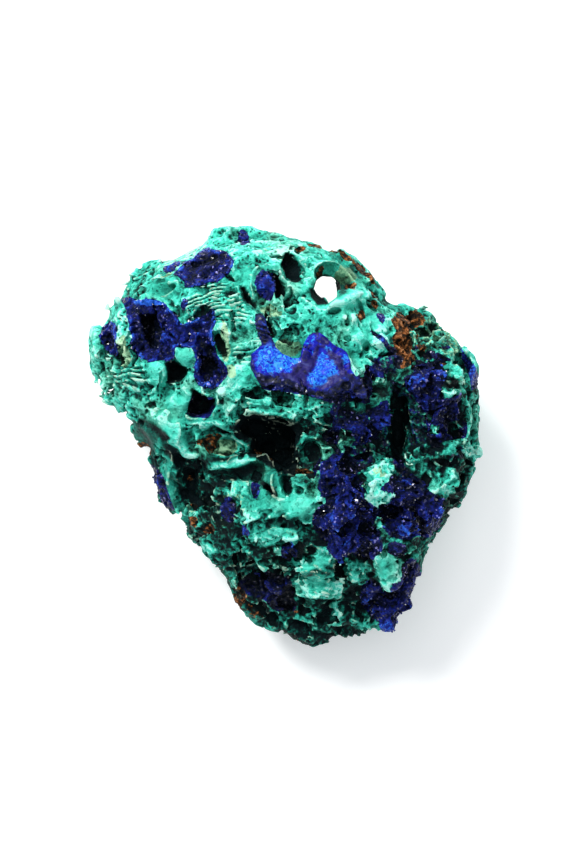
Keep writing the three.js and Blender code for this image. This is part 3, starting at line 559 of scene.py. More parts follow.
# %% Fibrous ledges and the outline
SLATS = [  # thin parallel ledges: place, half sizes, direction, spacing and depth in millimetres
    (214, 304, 40, 26, 16, 0.22, 0.17), (246, 346, 24, 22, 6, 0.2, 0.13),
    (126, 378, 40, 22, -15, 0.24, 0.17), (245, 318, 16, 16, -8, 0.24, 0.14),
    (280, 420, 60, 22, -6, 0.3, 0.2), (225, 500, 30, 34, -38, 0.3, 0.2), (318, 575, 40, 34, -8, 0.32, 0.2),
    (430, 340, 30, 26, 30, 0.3, 0.14), (403, 342, 9, 28, 8, 0.17, 0.12),
    (106, 385, 20, 30, -25, 0.24, 0.14), (140, 275, 24, 12, 25, 0.26, 0.16),
    (268, 330, 14, 20, -20, 0.24, 0.12),
]
EDGE_LUMPS = [  # place, height over the floor, half sizes (the last in millimetres), turn
    (98, 352, 5.5, 10, 24, 1.8, 0), (100, 380, 5.0, 8, 12, 1.5, 10), (110, 396, 5.5, 11, 10, 1.6, -30),
    (310, 632, 3.0, 18, 13, 1.8, 0), (314, 640, 3.2, 8, 7, 1.2, 0), (336, 630, 3.2, 12, 8, 1.4, 0),
    (246, 600, 3.6, 16, 8, 1.4, -42), (268, 622, 3.4, 14, 7, 1.4, -35), (469, 378, 5.6, 8, 26, 1.6, 0),
    (462, 353, 6.0, 5, 8, 1.3, -40), (103, 386, 5.5, 7, 7, 1.6, 0), (290, 629, 2.8, 8, 8, 1.5, 0),
    (378, 621, 3.0, 9, 7, 1.5, 0), (251, 611, 3.2, 8, 8, 1.5, -40), (352, 262, 6.4, 12, 6, 1.0, -35),
    (369, 280, 6.4, 10, 6, 1.0, -55), (376, 292, 6.2, 4, 5, 0.8, 0), (340, 252, 6.6, 7, 4, 0.8, -20),
    (478, 454, 5.4, 6, 6, 0.9, 0), (135, 273, 6.5, 6, 6, 1.0, 0), (150, 266, 6.5, 7, 4, 0.9, 0),
    (224, 235, 6.5, 12, 4, 1.0, 0), (96, 332, 5.6, 6, 8, 1.1, 0), (162, 496, 4.5, 4, 10, 0.9, -30),
    (157, 478, 4.8, 4, 6, 0.9, 0), (385, 312, 6.6, 5, 4, 0.8, 0), (422, 311, 7.0, 8, 4, 0.9, 0),
    (394, 622, 3.4, 7, 6, 0.9, 30),
]
EDGE_CUTS = [
    (180, 246, 5.0, 17, 8, 9, 28), (393, 300, 5.0, 9, 6, 9, -25), (446, 543, 4.0, 28, 10, 9, 57),
    (128, 420, 4.0, 8, 5, 6, -40), (146, 452, 4.0, 5, 5, 6, 0), (418, 590, 3.0, 5, 12, 9, -10),
    (207, 232, 6.0, 4, 5, 6, 0), (438, 306, 6.0, 7, 4, 9, -20),
]
print("slats, lumps and bites:", len(SLATS), len(EDGE_LUMPS), len(EDGE_CUTS))

# %% [markdown]
# Broken malachite shows flat, crisp-edged plates, such as the slab on the left. Each is an outline with a
# thickness, at the face's level. Forms that stand clear of the azurite are noted again, a little wider, to
# keep it off.

# %% Plates
PLATES = [  # flat ledges with crisp edges: rise over the face, thickness, tone, corners
    (0.2, 0.35, 1.0, [(150, 408), (157, 405), (166, 408), (174, 414), (180, 422), (182, 431), (185, 440),
        (187, 448), (191, 452), (197, 455), (195, 460), (187, 460), (181, 455), (178, 447), (172, 444),
        (167, 441), (171, 434), (163, 429), (157, 423), (152, 418)]),
    (0.08, 0.25, 1.05, [(207, 471), (212, 464), (225, 462), (240, 458), (252, 456), (263, 461), (250, 463),
        (240, 465), (230, 468), (218, 468)]),
    (0.0, 0.6, 0.55, [(262, 462), (270, 463), (277, 468), (281, 478), (284, 489), (288, 494), (281, 498),
        (276, 490), (270, 483), (263, 480), (265, 470)]),
    (0.1, 0.3, 0.7, [(190, 425), (195, 421), (214, 421), (222, 424), (203, 426), (197, 432), (195, 440),
        (196, 448), (191, 442), (189, 433)]),
    (0.25, 0.5, 0.3, [(402, 387), (410, 377), (425, 371), (440, 364), (444, 372), (447, 378), (438, 382),
        (428, 381), (420, 384), (412, 389)]),
    (0.1, 0.5, 0.4, [(440, 364), (450, 361), (462, 362), (468, 372), (470, 388), (463, 392), (459, 380),
        (447, 377)]),
    (0.1, 0.25, 0.55, [(440, 391), (448, 392), (459, 387), (462, 391), (452, 396), (446, 399)]),
    (0.1, 0.3, 0.5, FORMS["rib"]), (0.1, 0.3, 0.5, FORMS["low_rib"]),
    (0.12, 0.35, 1.0, [(194, 384), (203, 391), (211, 394), (220, 393), (232, 384), (244, 370), (252, 376),
        (238, 389), (222, 398), (208, 399), (197, 392)]),
    (0.0, 0.5, 0.62, [(222, 484), (232, 480), (248, 480), (251, 494), (262, 486), (270, 487), (278, 497),
        (275, 503), (264, 512), (258, 515), (250, 513), (243, 508), (239, 503), (232, 500), (228, 494)]),
    (0.15, 0.6, 0.78, [(264, 516), (272, 506), (283, 497), (292, 489), (299, 496), (304, 491), (315, 489),
        (324, 494), (327, 504), (317, 511), (314, 517), (302, 516), (285, 511), (273, 520)]),
    (0.2, 0.35, 0.92, [(252, 536), (262, 533), (272, 527), (284, 530), (296, 536), (305, 532), (300, 540),
        (290, 543), (283, 547), (275, 542), (265, 546), (258, 543)]),
    (0.1, 0.4, 0.6, [(300, 518), (308, 512), (318, 516), (312, 524), (306, 536), (300, 532)]),
    (0.2, 0.6, 0.76, [(290, 571), (298, 560), (310, 556), (316, 549), (330, 547), (338, 552), (332, 560),
        (334, 566), (320, 569), (310, 565), (300, 569)]),
    (0.15, 0.6, 0.78, [(303, 579), (316, 577), (335, 575), (346, 579), (345, 590), (342, 598), (332, 600),
        (318, 597), (308, 589)]),
    (0.25, 0.8, 0.85, [(374, 558), (382, 551), (390, 553), (394, 560), (400, 559), (406, 565), (407, 578),
        (400, 582), (396, 590), (385, 592), (379, 585), (380, 575), (376, 566)]),
    (0.22, 0.4, 0.85, [(371, 464), (379, 466), (386, 457), (389, 464), (395, 471), (394, 476), (406, 478),
        (392, 482), (388, 486), (395, 492), (394, 498), (386, 496), (382, 500), (380, 509), (374, 513),
        (369, 508), (366, 500), (353, 500), (352, 495), (358, 492), (363, 489), (362, 484), (372, 480),
        (368, 473)]),
    (0.25, 0.6, 0.72, [(426, 488), (440, 474), (452, 468), (456, 474), (452, 486), (450, 497), (440, 493),
        (428, 494)]),
    (0.2, 0.5, 0.95, [(467, 446), (476, 445), (482, 453), (476, 459), (467, 457)]),
    (0.25, 0.4, 0.45, FORMS["fin"]),
    (0.1, 0.4, 0.65, [(334, 608), (345, 611), (345, 620), (336, 625), (331, 618)]),
    (0.15, 0.5, 0.6, [(349, 562), (362, 561), (369, 572), (360, 578), (356, 587), (350, 578)]),
]
BARE = [  # green forms that stand clear of the azurite round them
    [(384, 372), (400, 376), (404, 390), (412, 396), (420, 410), (426, 430), (430, 446), (426, 458),
        (414, 458), (404, 446), (396, 430), (388, 412), (386, 392)],
    [(441, 364), (450, 360), (462, 360), (468, 372), (471, 389), (462, 393), (452, 398), (444, 400),
        (439, 391), (446, 378)],
    [(471, 391), (486, 391), (486, 440), (490, 455), (478, 462), (468, 458), (466, 446), (471, 438),
        (469, 420), (465, 404)],
    [(448, 422), (460, 420), (462, 427), (453, 434), (446, 434)],
    [(440, 443), (458, 436), (463, 443), (454, 453), (444, 460), (438, 452)],
    [(400, 447), (407, 455), (419, 457), (429, 465), (438, 477), (430, 487), (418, 478), (405, 466)],
    [(426, 489), (436, 479), (444, 473), (452, 467), (458, 474), (454, 486), (451, 498), (440, 498)],
    [(424, 413), (431, 412), (432, 420), (426, 422)],
    [(429, 424), (438, 426), (437, 434), (429, 434)],
    [(340, 428), (352, 430), (356, 440), (348, 448), (338, 440)],
    [(362, 398), (376, 394), (380, 404), (368, 410)],
    [(340, 398), (352, 396), (364, 402), (366, 412), (352, 410), (342, 406)],
    [(372, 378), (384, 378), (388, 398), (378, 402), (372, 392)],
    [(394, 426), (402, 428), (404, 436), (396, 440)],
    [(452, 460), (478, 458), (472, 482), (464, 502), (452, 522), (440, 520), (446, 504), (455, 488)],
]
print("plates and bare forms:", len(PLATES), len(BARE))

# %% [markdown]
# Some walls between hollows are all that is left of the stone there, as thin as a nail. A blade follows a
# line of places, one short wall from each to the next.

# %% Blades
BLADES = [  # thin standing rims: thickness and rise in millimetres, then places along the line
    (0.07, 0.16, [(183, 414), (192, 419), (202, 420), (213, 411)]),
    (0.07, 0.14, [(195, 386), (203, 391), (211, 394), (220, 393), (232, 386)]),
    (0.09, 0.2, [(238, 268), (236, 282), (241, 296), (250, 308), (259, 316)]),
    (0.16, 0.3, [(121, 297), (120, 315), (122, 335), (125, 355)]),
    (0.08, 0.18, [(146, 283), (155, 279), (168, 280), (180, 285)]),
    (0.07, 0.16, [(263, 459), (273, 467), (278, 482), (280, 494)]),
    (0.08, 0.18, [(207, 464), (225, 461), (245, 458), (262, 462)]),
    (0.07, 0.16, [(225, 394), (243, 388), (262, 390), (280, 388), (300, 396), (322, 402)]),
    (0.07, 0.16, [(230, 412), (250, 408), (272, 410), (292, 418), (306, 430)]),
    (0.08, 0.16, [(252, 290), (250, 278), (252, 268), (259, 261), (269, 260), (278, 265), (284, 276),
        (287, 290), (283, 302), (275, 309), (264, 309), (256, 301)]),
    (0.08, 0.2, [(296, 250), (306, 258), (318, 262), (334, 262)]),
    (0.07, 0.14, [(296, 262), (304, 274), (308, 290), (303, 300)]),
    (0.06, 0.22, [(366, 492), (376, 482), (392, 478), (408, 476)]),
    (0.06, 0.22, [(372, 460), (378, 474), (376, 490)]), (0.06, 0.2, [(362, 500), (368, 508), (378, 512)]),
    (0.06, 0.2, [(388, 462), (390, 474), (384, 486)]), (0.07, 0.2, [(405, 452), (416, 462), (428, 470)]),
    (0.07, 0.2, [(440, 470), (450, 474), (456, 486), (446, 494)]),
    (0.08, 0.2, [(232, 512), (250, 516), (268, 512), (282, 516), (298, 508)]),
    (0.08, 0.2, [(258, 540), (276, 535), (296, 538)]),
    (0.07, 0.18, [(246, 494), (262, 500), (276, 494), (292, 498)]),
    (0.07, 0.2, [(296, 556), (310, 548), (330, 550), (342, 558)]),
    (0.07, 0.2, [(294, 590), (314, 596), (338, 590)]),
    (0.07, 0.2, [(376, 556), (386, 562), (394, 574), (390, 588)]),
    (0.08, 0.2, [(165, 440), (168, 458), (170, 478), (176, 500), (186, 512)]),
]

print("blades:", len(BLADES))

# %% [markdown]
# The skin is first roughened by creased noise, coarse to fine. Lumps and swellings are added next, then the
# walls round hollows, and then the hollows are cut, so that every wall ends as a thin rim. Plates, grooves
# and blades come last, so that no hollow cuts them.

# %% Carve the stone
ROLLING = (1, 1.3, 0.09)  # seed, wave, height
CREASES = ((2, 0.75, 0.16), (3, 0.42, 0.11), (4, 0.24, 0.055))  # the same, ever finer
RIM_THICK = 0.1
OUTLINE_MARGIN = 0.5
SLAT_DEPTH = 1.6
BLADE_TALL = 0.5
JOINS = {  # how rounded the crease is where each form meets the stone
    "edge": 0.2, "knob": 0.15, "rim": 0.08, "hollow": 0.06, "floor": 0.15, "plate": 0.05, "blade": 0.1,
}

base = stone.copy()
stone += ROLLING[2] * lattice_noise(*ROLLING[:2])
for seed, wave, height in CREASES:
    stone += height * (np.abs(lattice_noise(seed, wave)) - 0.3)


def face_tool(u, v, half_u, half_v, turn, depth, lift):
    """A tool set on the closed face, raised by a share of its depth."""
    x, y = place(u, v)
    half = (half_u * UNIT, half_v * UNIT, depth)
    return Tool((x, y, float(level_at(x, y)) + lift * depth), half, face_axes(turn))


def bent_places(cells, bend):
    """The x and y of some cells, bent by the warp."""
    x = axes[0][cells[0]][:, None, None] + bend * warp[0][cells]
    y = axes[1][cells[1]][None, :, None] + bend * warp[1][cells]
    return x, y


def outline_cells(corners, bend):
    """The cells over an outline, and their bent places."""
    spots = np.array([place(u, v) for u, v in corners])
    first = np.maximum((spots.min(0) - OUTLINE_MARGIN - low[:2]) / CELL, 0).astype(int)
    last = ((spots.max(0) + OUTLINE_MARGIN - low[:2]) / CELL).astype(int)
    cells = (slice(first[0], last[0]), slice(first[1], last[1]), slice(0, None))
    return cells, *bent_places(cells, bend)


def depth_below(cells):
    """How deep each of some cells lies under the closed face."""
    return closed_level[cells[:2]][:, :, None] - axes[2][cells[2]][None, None, :]


for rows, sign in ((EDGE_LUMPS, 1), (EDGE_CUTS, -1)):
    for u, v, z, half_u, half_v, half_z, turn in rows:
        tool = Tool((*place(u, v), z), (half_u * UNIT, half_v * UNIT, half_z), face_axes(turn), bend=0.2)
        stone[tool.cells] = sign * soft_min(sign * stone[tool.cells], tool.ball(), JOINS["edge"])

for u, v, half_u, half_v, turn, rise in KNOBS:
    tool = face_tool(u, v, half_u, half_v, turn, 2 * rise, -0.6)
    stone[tool.cells] = soft_min(stone[tool.cells], tool.ball(), JOINS["knob"])

for u, v, half_u, half_v, turn, depth, rim in ROOMS + HOLLOWS:
    if rim:
        tool = face_tool(u, v, half_u, half_v, turn, depth, 0.15)
        wall = np.abs(tool.ball(RIM_THICK / 2)) - RIM_THICK / 2
        wall = soft_max(wall, base[tool.cells] - rim, 0.05)
        stone[tool.cells] = soft_min(stone[tool.cells], wall, JOINS["rim"])

for row in HOLLOWS:
    tool = face_tool(*row[:6], 0.15)
    stone[tool.cells] = soft_max(stone[tool.cells], -tool.ball(), JOINS["hollow"])

for depth, lean, soft, corners in CAVITIES:
    cells, x, y = outline_cells(corners, 0.12)
    below = depth_below(cells)
    cut = soft_max(outline_distance(x, y, corners) + lean * below, below - depth, JOINS["floor"])
    stone[cells] = soft_max(stone[cells], -cut, soft)

for u, v, half_u, half_v, turn, period, depth in SLATS:
    x, y = place(u, v)
    half = (half_u * UNIT, half_v * UNIT, SLAT_DEPTH)
    tool = Tool((x, y, float(level_at(x, y))), half, face_axes(turn), reach=0.2, bend=0.24)
    phase = tool.local[1] / period + 0.5 * np.sin(2.3 * tool.local[0]) - 0.3 * tool.local[2] / period
    phase += 0.4 * warp[2][tool.cells]
    groove = np.abs((phase % 1.0) - 0.5) * 2
    share = np.clip(-tool.ball() / 0.35, 0, 1)
    deeper = np.clip(1 + 1.2 * warp[0][tool.cells], 0.1, 1.8)
    stone[tool.cells] += share * depth * deeper * np.clip(1.6 * groove - 0.5, 0, 1)

for rise, thick, tone, corners in PLATES:
    cells, x, y = outline_cells(corners, 0.15)
    above = -depth_below(cells) - rise + 0.12 * warp[2][cells]
    between_faces = np.abs(above + thick / 2) - thick / 2
    plate = soft_max(outline_distance(x, y, corners) - 0.15 * above, between_faces, 0.04)
    stone[cells] = soft_min(stone[cells], plate, JOINS["plate"])

for thick, rise, line in BLADES:
    for (u0, v0), (u1, v1) in zip(line, line[1:]):
        x, y = place((u0 + u1) / 2, (v0 + v1) / 2)
        long = math.hypot(u1 - u0, v1 - v0) * UNIT / 2
        turn = math.degrees(math.atan2(v0 - v1, u1 - u0))
        centre = (x, y, float(level_at(x, y)) + rise - BLADE_TALL)
        tool = Tool(centre, (long, thick, BLADE_TALL), face_axes(turn), reach=0.5, bend=0.4)
        stone[tool.cells] = soft_min(stone[tool.cells], tool.wall(), JOINS["blade"])

print("filled share after carving:", round(float((stone < 0).mean()), 3))

# %% [markdown]
# Weathered malachite is scooped all over: small cups that meet in sharp little ridges, with a few pores
# that go deeper. Hundreds by hand would be dull work, so places are drawn at random on the surface, each
# looking along the surface's own normal. The smooth swellings are left out, as they are on real stones.

# %% Cups and pores all over
CALM = [  # places that keep a smooth skin: place and half sizes
    (338, 300, 26, 10), (163, 289, 18, 10), (159, 371, 10, 12), (184, 358, 8, 9), (168, 430, 12, 26),
    (237, 378, 24, 9), (335, 284, 24, 24), (232, 463, 26, 6), (248, 285, 8, 18), (310, 366, 44, 22),
    (376, 318, 14, 10), (362, 336, 12, 9), (150, 435, 16, 20), (168, 424, 12, 18), (180, 442, 9, 14),
    (270, 476, 14, 16), (240, 474, 30, 7), (172, 482, 8, 30), (200, 418, 20, 6), (176, 404, 10, 9),
    (262, 498, 20, 12), (296, 508, 20, 14), (280, 530, 16, 7), (318, 572, 18, 16), (386, 568, 10, 14),
]
ANGULAR = [  # places that break in flat-sided ledges
    (270, 560, 110, 90), (210, 500, 60, 60), (370, 520, 70, 90), (120, 375, 34, 30), (430, 340, 34, 30),
    (300, 490, 60, 40), (440, 450, 40, 70),
]
FINE = [  # places with fine forms that large cups would spoil
    (246, 346, 20, 16), (214, 304, 36, 20), (126, 378, 30, 16), (270, 505, 56, 32), (320, 575, 34, 34),
    (385, 570, 20, 22), (381, 483, 22, 28), (240, 375, 16, 20), (235, 462, 36, 8), (285, 348, 16, 10),
]
UPPER_FACE = 6  # millimetres over the floor, where the upper face begins
SIDES = 5  # and where the sides end
FLOOR_GAP = 0.02
WIDE_CUP = 0.3
LEDGES = [(275, 505, 52, 18), (275, 538, 28, 8), (318, 575, 30, 26), (388, 570, 16, 18), (381, 483, 20, 24)]


def surface_points(field, step):
    """Points and outward normals over the surface of a field, thinned by a step."""
    thin = np.ascontiguousarray(field[::step, ::step, ::step])
    grid = openvdb.FloatGrid(1.0)
    grid.copyFromArray(np.clip(thin, -0.9, 0.9))
    points, _, _ = grid.convertToPolygons(0.0, 0.0)
    cells = np.clip(np.rint(points * step).astype(int), 1, np.array(field.shape) - 2)
    i, j, k = cells.T
    slopes = [
        field[i + 1, j, k] - field[i - 1, j, k],
        field[i, j + 1, k] - field[i, j - 1, k],
        field[i, j, k + 1] - field[i, j, k - 1],
    ]
    normals = np.stack(slopes, 1)
    normals /= np.maximum(np.linalg.norm(normals, axis=1, keepdims=True), 1e-6)
    return low + points * step * CELL, normals


def in_spots(x, y, spots):
    """How much a place lies in any of the spots of the sketch, 0 to 1."""
    inside = np.zeros(len(x), np.float32)
    for u, v, half_u, half_v in spots:
        spot_x, spot_y = place(u, v)
        apart = ((x - spot_x) / (half_u * UNIT)) ** 2 + ((y - spot_y) / (half_v * UNIT)) ** 2
        inside = np.maximum(inside, np.clip(1.4 - apart, 0, 1))
    return inside


def cups(seed, count, radius, depth_share, calm_share, blocky=False, form=(1.9, 1, 1), spots=()):
    """Scoops cups, or chips flat-sided blocks, at places drawn at random on the surface."""
    random = np.random.default_rng(seed)
    points, normals = surface_points(stone, 3)
    x, y, z = points.T
    calm = in_spots(x, y, CALM) * (z > UPPER_FACE)
    keep = random.random(len(points)) > calm * calm_share
    angular = in_spots(x, y, ANGULAR) + (z < SIDES)
    if blocky:
        keep &= angular > random.random(len(points))
    elif radius[1] > WIDE_CUP:
        keep &= 0.75 * angular < random.random(len(points))
    fine_share = 1 if form[2] > 1 or radius[1] > WIDE_CUP else 0.4
    keep &= (fine_share * in_spots(x, y, FINE) < random.random(len(points))) | (z < SIDES)
    if spots:
        keep = (in_spots(x, y, spots) > random.random(len(points))) & (z > SIDES)
    points, normals = points[keep], normals[keep]
    picks = random.choice(len(points), min(count, len(points)), replace=False)
    for pick in picks:
        size = radius[0] + (radius[1] - radius[0]) * random.random() ** 2
        half = (size * (1 + (form[0] - 1) * random.random()), size * form[1], size * form[2])
        share = depth_share[0] + (depth_share[1] - depth_share[0]) * random.random()
        centre = points[pick] + normals[pick] * half[2] * (1 - share)
        aim = normals[pick] + random.uniform(-0.7, 0.7, 3) * blocky
        reach = 0.06 + 0.8 * max(half) * blocky
        tool = Tool(centre, half, face_axes(random.random() * 180, aim), reach=reach, bend=0.35 * size)
        if not tool.empty:
            cut = tool.block() if blocky else tool.ball()
            stone[tool.cells] = soft_max(stone[tool.cells], -cut, 0.02)


cups(14, 1100, (0.2, 0.5), (0.2, 0.45), 1.0, blocky=True)  # wide breaks
cups(11, 900, (0.22, 0.45), (0.2, 0.45), 1.0)  # wide cups
cups(16, 700, (0.1, 0.2), (0.7, 1.2), 0.9, form=(4.5, 0.7, 2.5))  # deep slits
cups(15, 3500, (0.09, 0.22), (0.25, 0.6), 1.0, blocky=True)  # small breaks
cups(12, 10000, (0.07, 0.2), (0.3, 0.65), 0.9)  # small cups
cups(13, 1500, (0.05, 0.1), (1.2, 3.5), 0.9)  # pores
cups(17, 1200, (0.07, 0.2), (0.3, 0.65), 0.9, spots=LEDGES)  # small cups on the ledges
stone = np.maximum(stone, FLOOR_GAP - axes[2][None, None, :])
print("filled share after the cups:", round(float((stone < 0).mean()), 3))

# %% [markdown]
# Carving leaves crumbs that hang in the air. They are found as a flood would find them: it starts in the
# core of the stone and spreads from cell to filled cell, and what it never reaches is swept away.

# %% Sweep away loose crumbs
def spread_out(mask):
    """A mask grown by one cell in each direction."""
    grown = mask.copy()
    for axis in range(3):
        ahead = [slice(1, None) if a == axis else slice(None) for a in range(3)]
        behind = [slice(None, -1) if a == axis else slice(None) for a in range(3)]
        grown[tuple(ahead)] |= mask[tuple(behind)]
        grown[tuple(behind)] |= mask[tuple(ahead)]
    return grown


CORE_DEPTH = 0.5
NEARLY_FILLED = 0.02
filled = stone[::2, ::2, ::2] < NEARLY_FILLED
reached = filled & (base[::2, ::2, ::2] < -CORE_DEPTH)
count = 0
while count < reached.sum():
    count = reached.sum()
    for _ in range(4):
        reached = spread_out(reached) & filled
loose = spread_out(filled & ~reached) & ~spread_out(reached)
for axis, size in enumerate(fine_shape):
    loose = np.repeat(loose, 2, axis).take(np.arange(size), axis)
stone[loose] = np.maximum(stone[loose], CELL)
print("loose cells:", int(loose.sum()))

# %% [markdown]
# A field becomes a mesh again by drawing the sheet where the distance is nought. A fine sheet has far more
# faces than flat places need, so they are collapsed afterwards. The stone comes out as five pieces that run
# a little into each other, because one mesh fine enough for its thin rims would be too heavy to handle. The
# collapse is measured in millimetres, and the mesh is brought to metres last.

# %% From the field back to a mesh
CLIP = 0.9


def new_piece(name, mesh):
    """An object for a finished mesh, put into the scene."""
    piece = bpy.data.objects.new(name, mesh)
    bpy.context.scene.collection.objects.link(piece)
    return piece


def field_mesh(name, field, cells=(slice(0, None),) * 3):
    """A mesh object, still in millimetres, of the sheet where a field over some cells is nought."""
    grid = openvdb.FloatGrid(1.0)
    padded = np.pad(np.clip(field, -CLIP, CLIP), 1, constant_values=CLIP)
    grid.copyFromArray(np.ascontiguousarray(padded, np.float32))
    points, triangles, quads = grid.convertToPolygons(0.0, 0.0)
    first = np.array([c.start or 0 for c in cells])
    points = low + (points - 1 + first) * CELL
    mesh = bpy.data.meshes.new(name)
    mesh.vertices.add(len(points))
    mesh.vertices.foreach_set("co", points.astype(np.float32).ravel())
    mesh.loops.add(quads.size)
    mesh.loops.foreach_set("vertex_index", quads[:, ::-1].astype(np.int32).ravel())
    mesh.polygons.add(len(quads))
    mesh.polygons.foreach_set("loop_start", np.arange(0, quads.size, 4, dtype=np.int32))
    mesh.update(calc_edges=True)
    mesh.validate()
    return new_piece(name, mesh)


UNDER = -0.3  # a normal that points lower than this is on the side that lies down
UNEVEN = 1.25
MOST_WEIGHT = 1000


def collapse(piece, ratio, group=""):
    """Merges edges until only a share of the triangles is left, first where the group is."""
    modifier = piece.modifiers.new("collapse", "DECIMATE")
    modifier.ratio = min(1, ratio)
    modifier.use_collapse_triangulate = True
    modifier.vertex_group = group
    modifier.vertex_group_factor = MOST_WEIGHT
    select_only(piece)
    bpy.ops.object.modifier_apply(modifier=modifier.name)


def thin_out(piece, most):
    """Fewer triangles, evenly and then only on the side that lies down. Millimetres become metres."""
    triangles = 2 * len(piece.data.polygons)
    if triangles > most:
        collapse(piece, UNEVEN * most / triangles)
        upward = read_out(piece.data.vertices, "normal")[:, 2]
        under = piece.vertex_groups.new(name="under")
        under.add(np.flatnonzero(upward < UNDER).tolist(), 1.0, "REPLACE")
        collapse(piece, most / len(piece.data.polygons), "under")
        piece.vertex_groups.clear()
    piece.data.transform(Matrix.Scale(MM, 4))
    return len(piece.data.polygons)


MOST_TRIANGLES = 190_000
FACE_DEPTH = 5.0
LOWEST_CUT = 2.3
SEAM_X = 0.9
SEAM_Y = 0.4
SEAM_WANDER = 0.8
OVERLAP = 0.05  # neighbours run a little way into each other, so that no seam gapes
from_cut = axes[2][None, None, :] - np.maximum(closed_level - FACE_DEPTH, LOWEST_CUT)[:, :, None]
from_seam = axes[0][:, None, None] - SEAM_X + SEAM_WANDER * warp[0]
from_waist = axes[1][None, :, None] - SEAM_Y + SEAM_WANDER * warp[1]
cuts = {"malachite_base": from_cut}
for side, beside in (("left", from_seam), ("right", -from_seam)):
    for end, beyond in (("top", -from_waist), ("foot", from_waist)):
        cuts[f"malachite_{end}_{side}"] = np.maximum(-from_cut, np.maximum(beside, beyond))
rocks = {}
for name, cut in cuts.items():
    rocks[name] = field_mesh(name, np.maximum(stone, cut - OVERLAP))
    before = 2 * len(rocks[name].data.polygons)
    print(name, before, "triangles, then", thin_out(rocks[name], MOST_TRIANGLES))

# %% [markdown]
# The azurite crusts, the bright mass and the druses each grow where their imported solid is. Each takes the
# rock's carved surface a little further out, with a grainy skin, and ends where its own solid ends. So a
# crust follows every cup of the hollow that it lines, and its edge is as ragged as a real one. A few green
# forms stand clear of the druses, and there the growth is left out.

# %% Azurite growths
GROWTHS = [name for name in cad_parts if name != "malachite_body"]
MOST_GROWTH = 40_000
BOX_MARGIN = 0.6
REACH = 0.27
RISE = 0.05
MASS_RISE = 0.12
GRAIN = (52, 0.16, 0.07)  # seed, wave, height
GROWTH_DEPTH = {"azurite_crust_edge": 1.0, "azurite_crust_top": 1.9, "azurite_mass": 1.4}
MOST_DEPTH = 2.4
face_layer = round((FOCUS_LEVEL - low[2]) / CELL)


def growth_field(name, grain):
    """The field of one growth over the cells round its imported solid."""
    corners = [np.array(corner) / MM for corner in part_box(name)]
    first = np.maximum(((corners[0] - BOX_MARGIN - low) / COARSE).astype(int), 0)
    last = np.minimum(((corners[1] + BOX_MARGIN - low) / COARSE).astype(int) + 2, coarse_shape)
    near = node_fields[name][tuple(slice(f, t) for f, t in zip(first, last))]
    cells = tuple(slice(2 * f, 2 * t - 1) for f, t in zip(first, last))
    rise = MASS_RISE if name == "azurite_mass" else RISE
    if name in OUTLINES:
        region = outline_distance(*bent_places(cells, 0.08), OUTLINES[name]) + 0.08 * fine_warp[cells]
        region = np.maximum(region, depth_below(cells) - GROWTH_DEPTH.get(name, MOST_DEPTH))
    else:
        region = stretch(blur(near, 0.1 / COARSE), 2 * (last - first) - 1) - REACH
        region += 0.16 * warp[0][cells] + 0.12 * fine_warp[cells]
        x = axes[0][cells[0]][:, None] + 0.1 * warp[0][cells[0], cells[1], face_layer]
        y = axes[1][cells[1]][None, :] + 0.1 * warp[1][cells[0], cells[1], face_layer]
        for corners in BARE:
            region = np.maximum(region, -outline_distance(x, y, corners)[:, :, None])
    return np.maximum(stone[cells] - rise - grain[cells], region), cells


fine_warp = lattice_noise(51, 0.25)
grain = GRAIN[2] * lattice_noise(*GRAIN[:2])
growths = {}
for name in GROWTHS:
    field, cells = growth_field(name, grain)
    growths[name] = field_mesh(name.replace("azurite_", "blue_"), field, cells)
    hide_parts(name)
    print(growths[name].name, thin_out(growths[name], MOST_GROWTH))

# %% [markdown]
# ## Colour that follows the stone
# Malachite is painted pale on its ridges, as painted highlight, and dark in its hollows, as painted shade,
# and each mineral keeps to its own places. Both are worked out at every vertex and kept as attributes of
# the mesh: how far the surface stands out of its surroundings, and patches of tone, azurite, iron rust
# and olive.
# Where the carving made ledges, the skin also knows how far across the fibres it lies, so that streaks of
# colour can follow them.

# %% Reading a field at points
SHALLOW = 0.25
DEEP = 0.6


def sample(field, points, step=CELL):
    """The value of a field at some points in millimetres."""
    spots = np.clip((points - low) / step, 0, np.array(field.shape) - 1.001)
    i, j, k = spots.astype(int).T
    a, b, c = (spots - spots.astype(int)).T
    value = 0
    for di, wi in ((0, 1 - a), (1, a)):
        for dj, wj in ((0, 1 - b), (1, b)):
            for dk, wk in ((0, 1 - c), (1, c)):
                value = value + wi * wj * wk * field[i + di, j + dj, k + dk]
    return value


near_skin = np.clip(stone, -SHALLOW, SHALLOW)
further = np.clip(stone[::2, ::2, ::2], -DEEP, DEEP)
crest_field = blur(near_skin, 0.065 / CELL)
ridge_field = blur(near_skin, 0.13 / CELL)
broad_field = blur(further, 0.42 / COARSE)
deep_field = blur(further, 0.9 / COARSE)
print("relief of the skin, mm:", round(float(np.abs(ridge_field - near_skin).mean()), 3))
